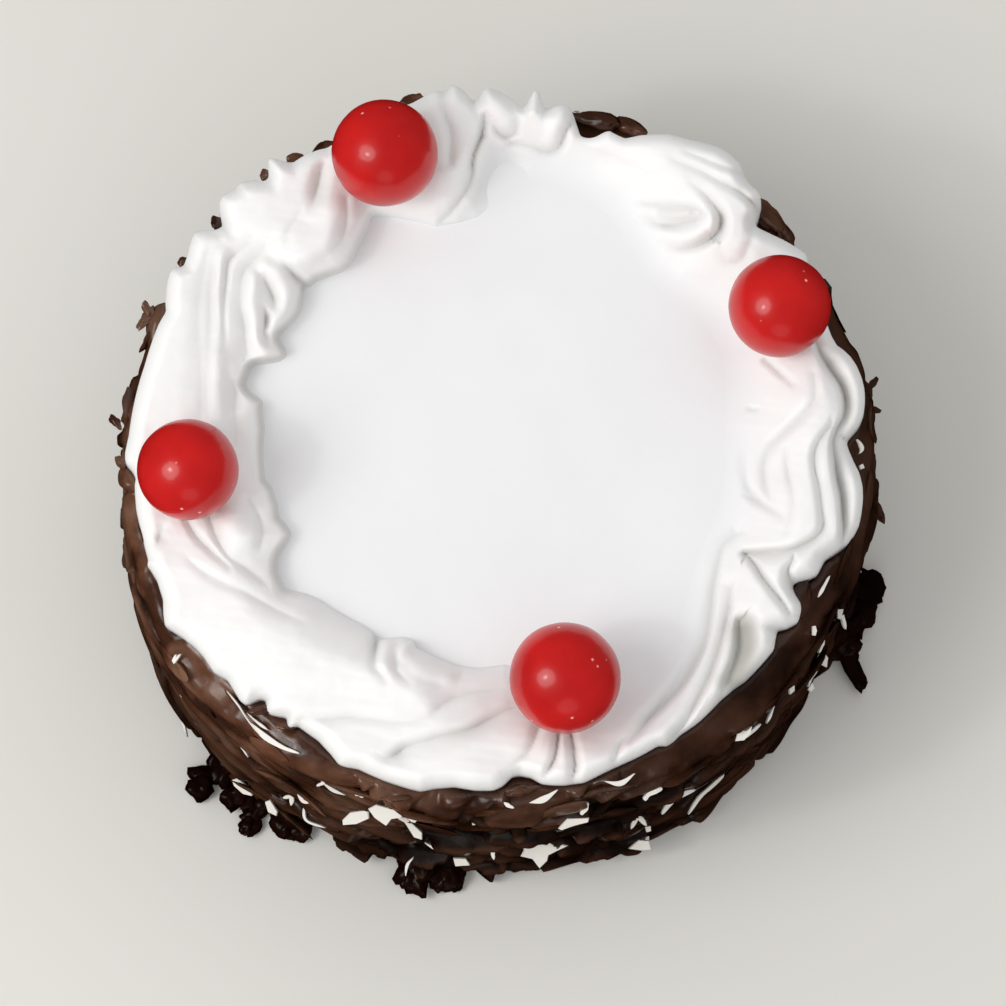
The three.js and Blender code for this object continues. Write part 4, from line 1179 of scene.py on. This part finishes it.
# Shavings seen in the photo: half the width, how pointed the ends are, and pixels along them.
SEEN_SHAVINGS = [
    (0.2, 0.9, [(247, 713), (258, 723), (268, 730)]),
    (0.26, 0.8, [(320, 782), (332, 791), (345, 796)]),
    (0.28, 0.5, [(295, 790), (303, 803), (317, 801)]),
    (0.24, 0.9, [(304, 805), (306, 820), (325, 828)]),
    (0.22, 0.9, [(180, 700), (182, 718), (187, 737)]),
    (0.22, 0.8, [(200, 730), (205, 737), (210, 743)]),
    (0.24, 0.8, [(232, 730), (240, 744), (248, 757)]),
    (0.26, 0.4, [(186, 652), (184, 660), (190, 652)]),
    (0.42, 0.9, [(529, 803), (544, 799), (558, 790)]),
    (0.42, 0.15, [(580, 812), (584, 806), (587, 800)]),
    (0.34, 0.9, [(604, 781), (620, 783), (634, 773)]),
    (0.42, 0.2, [(644, 800), (650, 793), (662, 788)]),
    (0.48, 0.8, [(661, 813), (668, 803), (680, 794), (694, 789)]),
    (0.36, 0.8, [(689, 815), (700, 798), (712, 787), (726, 774)]),
    (0.2, 0.9, [(416, 850), (410, 858), (408, 870)]),
    (0.24, 0.8, [(815, 598), (820, 588), (826, 577)]),
    (0.22, 0.9, [(768, 724), (772, 716), (777, 704)]),
    (0.2, 0.9, [(833, 640), (829, 652), (826, 666)]),
    (0.24, 0.5, [(838, 656), (841, 650), (844, 642)]),
    (0.28, 0.5, [(504, 802), (509, 806), (514, 808)]),
    (0.22, 0.9, [(424, 845), (436, 852), (446, 850)]),
    (0.34, 0.7, [(732, 738), (744, 733), (757, 722)]),
]

# Flakes seen in the photo: the pixels of their corners.
SEEN_FLAKES = [
    [(344, 817), (352, 809), (370, 806), (371, 815), (358, 821), (345, 822)],
    [(370, 805), (378, 801), (404, 808), (404, 814), (393, 815), (388, 822), (376, 814)],
    [(404, 819), (412, 821), (423, 831), (423, 838), (415, 836)],
    [(237, 777), (243, 775), (257, 788), (257, 793), (248, 791), (239, 783)],
    [(270, 798), (275, 796), (282, 808), (281, 812), (273, 808)],
    [(453, 859), (466, 860), (470, 866), (455, 867)],
    [(539, 832), (546, 843), (568, 847), (549, 857), (547, 863), (540, 870), (533, 861), (521, 858),
     (524, 852), (520, 845), (533, 844)],
    [(557, 826), (566, 816), (588, 815), (587, 819), (572, 823), (560, 827)],
    [(638, 838), (648, 839), (650, 848), (640, 849), (628, 847)],
    [(812, 626), (815, 626), (816, 631), (815, 636), (812, 635)],
    [(852, 604), (858, 604), (856, 614), (852, 613)],
    [(822, 681), (828, 682), (832, 691), (828, 695), (823, 688)],
    [(829, 655), (832, 658), (831, 668), (826, 666)],
    [(787, 687), (793, 684), (793, 690), (788, 694)],
    [(742, 731), (750, 728), (756, 722), (753, 733), (746, 740), (738, 741)],
    [(471, 824), (476, 823), (477, 828), (472, 829)],
    [(645, 826), (650, 825), (650, 830), (646, 831)],
]
SEEN_DISTANCES = (55.5, 56.5, 57.5, 58.3, 54.5)     # of the side, tried in this order
SEEN_HEIGHTS = (1.0, 45.6)  # a pixel is on the side between these, and on the rim otherwise
SEEN_RIM = 45.9             # the height of the rim where pixels are read

FLAKE_LEAN = 52.0           # degrees that a flake's face looks up
RIM_LEAN = 72.0             # the same for one on the rim
FLAKE_THICKNESS = 0.5
FLAKE_BEND = 0.02
RAY_START = 9.0             # mm off the face, where the way down to the chocolate is measured from
NEAR_ENOUGH = 1.3           # mm; at least half of a piece's points come this near to the chocolate
STREWN = 34                 # small shavings
STREWN_IN_FRONT = 10
STREWN_AT = 55.5            # their distance before they are let down


def chocolate_tree(pieces):
    """A tree of the chocolate's faces, for letting the white pieces down onto them."""
    points, faces = joined(pieces)
    return BVHTree.FromPolygons([tuple(point) for point in points], faces)


def face_axes(azimuth, lean):
    """The directions along, up and off a face that looks up by a lean in degrees."""
    lean = math.radians(lean)
    out, along = axes(azimuth)
    up = np.array([0, 0, 1])
    normal = out * math.cos(lean) + up * math.sin(lean)
    rise = up * math.cos(lean) - out * math.sin(lean)
    return np.array([along, rise, normal])


def seen_middle(pixel):
    """The point of the side or the rim that a pixel of the photo shows, its distance and its lean."""
    way = sight(pixel)
    steep = way[:2] @ way[:2]
    near = camera_place[:2] @ way[:2]
    for distance in SEEN_DISTANCES:
        square = near ** 2 - steep * (camera_place[:2] @ camera_place[:2] - distance ** 2)
        if square < 0:
            continue
        for root in (-math.sqrt(square), math.sqrt(square)):
            point = camera_place + (root - near) / steep * way
            if SEEN_HEIGHTS[0] <= point[2] <= SEEN_HEIGHTS[1] and point[1] < 0:
                return point, distance, FLAKE_LEAN
    point = camera_place + way * (SEEN_RIM - camera_place[2]) / way[2]
    return point, math.hypot(point[0], point[1]), RIM_LEAN


def as_seen(pixels):
    """Azimuth, distance and height of a piece's middle, and its points along and up its face.

    The pixels are followed from the camera to the face. All is kept to a tenth of a degree or mm.
    """
    pixels = np.array(pixels, float)
    middle, distance, lean = seen_middle((pixels.max(0) + pixels.min(0)) / 2)
    azimuth = math.degrees(math.atan2(middle[1], middle[0])) % 360
    face = face_axes(azimuth, lean)
    points = []
    for pixel in pixels:
        way = sight(pixel)
        travel = (middle - camera_place) @ face[2] / (way @ face[2])
        points.append(face[:2] @ (camera_place + travel * way - middle))
    return round(azimuth, 1), round(distance, 1), round(middle[2], 1), np.round(points, 1)


def let_down(tree, azimuth, distance, height, rings):
    """Places a thin piece, given as rings of points along, up and off its face, on the chocolate."""
    face = face_axes(azimuth, RIM_LEAN if height > 45 else FLAKE_LEAN)
    normal = face[2]
    points = at(azimuth, distance, height) + np.vstack(rings) @ face
    rooms = []
    for start in points[::3]:
        _, _, _, travel = tree.ray_cast(Vector(start + RAY_START * normal), Vector(-normal), 2 * RAY_START)
        if travel:
            rooms.append(travel - RAY_START)
    sink = max(min(rooms), float(np.median(rooms)) - NEAR_ENOUGH) if rooms else 0
    return points - sink * normal


def shaving(tree, azimuth, distance, height, half, point, rows):
    """A thin shaving with a flat oblong section along a curve."""
    rows = np.asarray(rows, float)
    steps = max(7, int(np.linalg.norm(np.diff(rows, axis=0), axis=1).sum() / 0.3))
    place, slope = spline(rows, steps)
    direction = slope / np.linalg.norm(slope, axis=1)[:, None]
    across = np.stack([-direction[:, 1], direction[:, 0]], 1)
    run = np.linspace(0, 1, steps)
    belly = np.clip(4 * run * (1 - run), 0.03, 1) ** (0.05 + 0.75 * point)
    width = half * belly * (1 + 0.2 * np.sin(run * 8 + azimuth))
    section = np.array([
        (-1, 0), (-0.9, 0.2), (0, 0.25), (0.9, 0.2), (1, 0), (0.9, -0.2), (0, -0.25), (-0.9, -0.2),
    ])
    rings = [np.column_stack([place[:1], 0])]
    for middle, side, reach in zip(place, across, width):
        rings.append(np.column_stack([middle + side * section[:, :1] * reach, section[:, 1]]))
    rings.append(np.column_stack([place[-1:], 0]))
    return let_down(tree, azimuth, distance, height, rings), tube_faces(steps, len(section))


def flat_flake(tree, azimuth, distance, height, corners):
    """A thin flake with sharp corners."""
    corners = np.asarray(corners, float)
    outline = np.stack([corners, (corners + np.roll(corners, -1, 0)) / 2], 1).reshape(-1, 2)
    middle = outline.mean(0)
    half = FLAKE_THICKNESS / 2
    rings = [np.array([(*middle, half)])]
    for share, edge in ((0.55, half), (0.94, half), (1, half * 0.4), (1, -half * 0.4), (0.94, -half)):
        flat = middle + (outline - middle) * share
        rings.append(np.column_stack([flat, edge + FLAKE_BEND * ((flat - middle) ** 2).sum(1)]))
    rings.append(np.array([(*middle, -half)]))
    faces = tube_faces(5, len(outline))
    following = np.roll(outline, -1, 0)
    if (outline[:, 0] * following[:, 1] - following[:, 0] * outline[:, 1]).sum() > 0:
        faces = flipped(faces)
    return let_down(tree, azimuth, distance, height, rings), faces


def white_pieces(random, tree):
    """The white shavings and flakes, with small shavings strewn between them and round the rest."""
    parts = [shaving(tree, *row) for row in WHITE_SHAVINGS]
    for half, point, pixels in SEEN_SHAVINGS:
        azimuth, distance, height, rows = as_seen(pixels)
        parts.append(shaving(tree, azimuth, distance, height, half, point, rows))
    parts += [flat_flake(tree, *as_seen(pixels)) for pixels in SEEN_FLAKES]
    parts += [flat_flake(tree, *row) for row in WHITE_FLAKES]
    for i in range(STREWN):
        azimuth = random.uniform(236, 342) if i < STREWN_IN_FRONT else random.uniform(-15, 230)
        length, slant, bend = random.uniform(1.2, 4.2), random.normal(0.2, 0.6), random.normal(0, 0.4)
        reach = np.array([math.cos(slant), math.sin(slant)]) * length / 2
        side = np.array([-math.sin(slant), math.cos(slant)]) * bend
        half, point = random.uniform(0.2, 0.45), random.uniform(0.1, 1)
        height, rows = random.uniform(3, 42), [-reach, side, reach]
        parts.append(shaving(tree, azimuth, STREWN_AT, height, half, point, rows))
    return parts


# ---------------------------------------------------------------- light and floor

# Place and target in metres, size, power and colour.
KEY_PLACE = (-0.517, -0.263, 0.662)
LIGHTS = {
    "key": (KEY_PLACE, (0, 0, 0.04), 0.55, 2.88, (1, 0.995, 0.985)),
    "window": (KEY_PLACE, (0, 0, 0.04), 0.09, 0.65, (1, 0.98, 0.95)),
    "card": ((0.1, -0.95, 0.3), (0, 0, 0.03), 0.6, 0.6, (1, 0.97, 0.93)),
}
SKY_COLOUR = (0.985, 0.995, 1, 1)
SKY_STRENGTH = 0.72
FLOOR_HALF = 2000           # mm
FLOOR_GAP = 0.2             # mm that the floor lies under the foot


def area_light(name, place, target, size, power, colour):
    """A round lamp that faces its target."""
    data = bpy.data.lights.new(name, "AREA")
    data.shape = "DISK"
    data.size = size
    data.energy = power
    data.color = colour
    lamp = bpy.data.objects.new(name, data)
    lamp.location = place
    lamp.rotation_euler = (Vector(target) - Vector(place)).to_track_quat("-Z", "Y").to_euler()
    bpy.context.scene.collection.objects.link(lamp)


def make_stage():
    """The pale floor, the lights and the sky."""
    points = [(x * FLOOR_HALF, y * FLOOR_HALF, 0) for x, y in ((-1, -1), (1, -1), (1, 1), (-1, 1))]
    floor = mesh_object("floor", points, [(0, 1, 2, 3)], floor_material(), smooth=False)
    floor.location.z = -FLOOR_GAP * MM
    floor.visible_glossy = False
    for name, values in LIGHTS.items():
        area_light(name, *values)
    world = bpy.data.worlds.new("studio")
    world.use_nodes = True
    settle(world.node_tree.nodes["Background"], Color=SKY_COLOUR, Strength=SKY_STRENGTH)
    world.cycles_visibility.glossy = False
    bpy.context.scene.world = world
    bpy.context.scene.view_settings.view_transform = "Standard"


# ---------------------------------------------------------------- the whole

def own(piece, slot, *nodes):
    """The piece rides on the cake, and stands for those nodes."""
    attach(piece, "root")
    if nodes:
        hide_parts(*nodes)


camera_place, *camera_axes = make_camera()
make_stage()

piped = cream_material(
    "piped_cream", (0.90, 0.893, 0.883), (0.87, 0.863, 0.855), 900, foot=(0.854, 0.86, 0.87),
)
spread = cream_material("spread_cream", (0.86, 0.866, 0.876), (0.848, 0.853, 0.863), 500)
dark_chocolate = chocolate_material(
    "dark_chocolate", [(0.017, 0.0052, 0.0020), (0.047, 0.0165, 0.0072), (0.062, 0.0275, 0.0152)],
    [(0.052, 0.017, 0.0075), (0.140, 0.056, 0.029), (0.20, 0.100, 0.060)],
)
# The pieces at the foot take a near-black, less glossy copy of the chocolate: painted shade, as they lie in
# the shadow at the foot.
foot_chocolate_in_painted_shade = chocolate_material(
    "foot_chocolate_in_painted_shade", [(0.006, 0.0012, 0.0005), (0.014, 0.0035, 0.0014)],
    [(0.004, 0.0008, 0.0003), (0.009, 0.0022, 0.0009)], gloss=0.25,
)
white_chocolate = cream_material("white_chocolate", (0.82, 0.79, 0.74), (0.74, 0.70, 0.63), 700)
red = cherry_material()

seats = [(np.array(middle), radius - SEAT_GAP) for middle, radius, _ in CHERRIES.values()]
own(make_border(piped, seats), "piped_cream", "cream_border")
own(make_cream_top(spread), "cream", "cream_top")
for cherry_node in CHERRIES:
    own(make_cherry(cherry_node, red), "cherry", cherry_node)

draws = np.random.default_rng(SEED)
relief = coat_relief(draws)
coat = coat_surface(relief)
skin = coat_skin(coat)
side = mesh_object("chocolate_coat", *skin, dark_chocolate)
own(with_values(side, "painted_hollow_shade", np.append(coat_painted_shade(relief).T.ravel(), (0, 0))), "chocolate", "cake")
flakes = trimmed(side_shards(draws, coat), COAT_LIMIT, beyond=0.2)
flakes += trimmed(single_bits(draws, RIM_BITS), 58, beyond=1.2)
flakes += trimmed(single_bits(np.random.default_rng(SEED + 1), SIDE_BITS), COAT_LIMIT, beyond=1.2)
own(mesh_object("chocolate_flakes", *joined(flakes), dark_chocolate, sharp=50), "chocolate", "cake")
foot = trimmed(foot_lumps(draws), FOOT_LIMIT)
own(mesh_object("chocolate_foot", *joined(foot), foot_chocolate_in_painted_shade, sharp=50), "chocolate", "cake")
shavings = trimmed(white_pieces(draws, chocolate_tree([skin] + flakes + foot)), COAT_LIMIT, beyond=0.2)
own(mesh_object("white_shavings", *joined(shavings), white_chocolate, sharp=30), "cream", "cake")
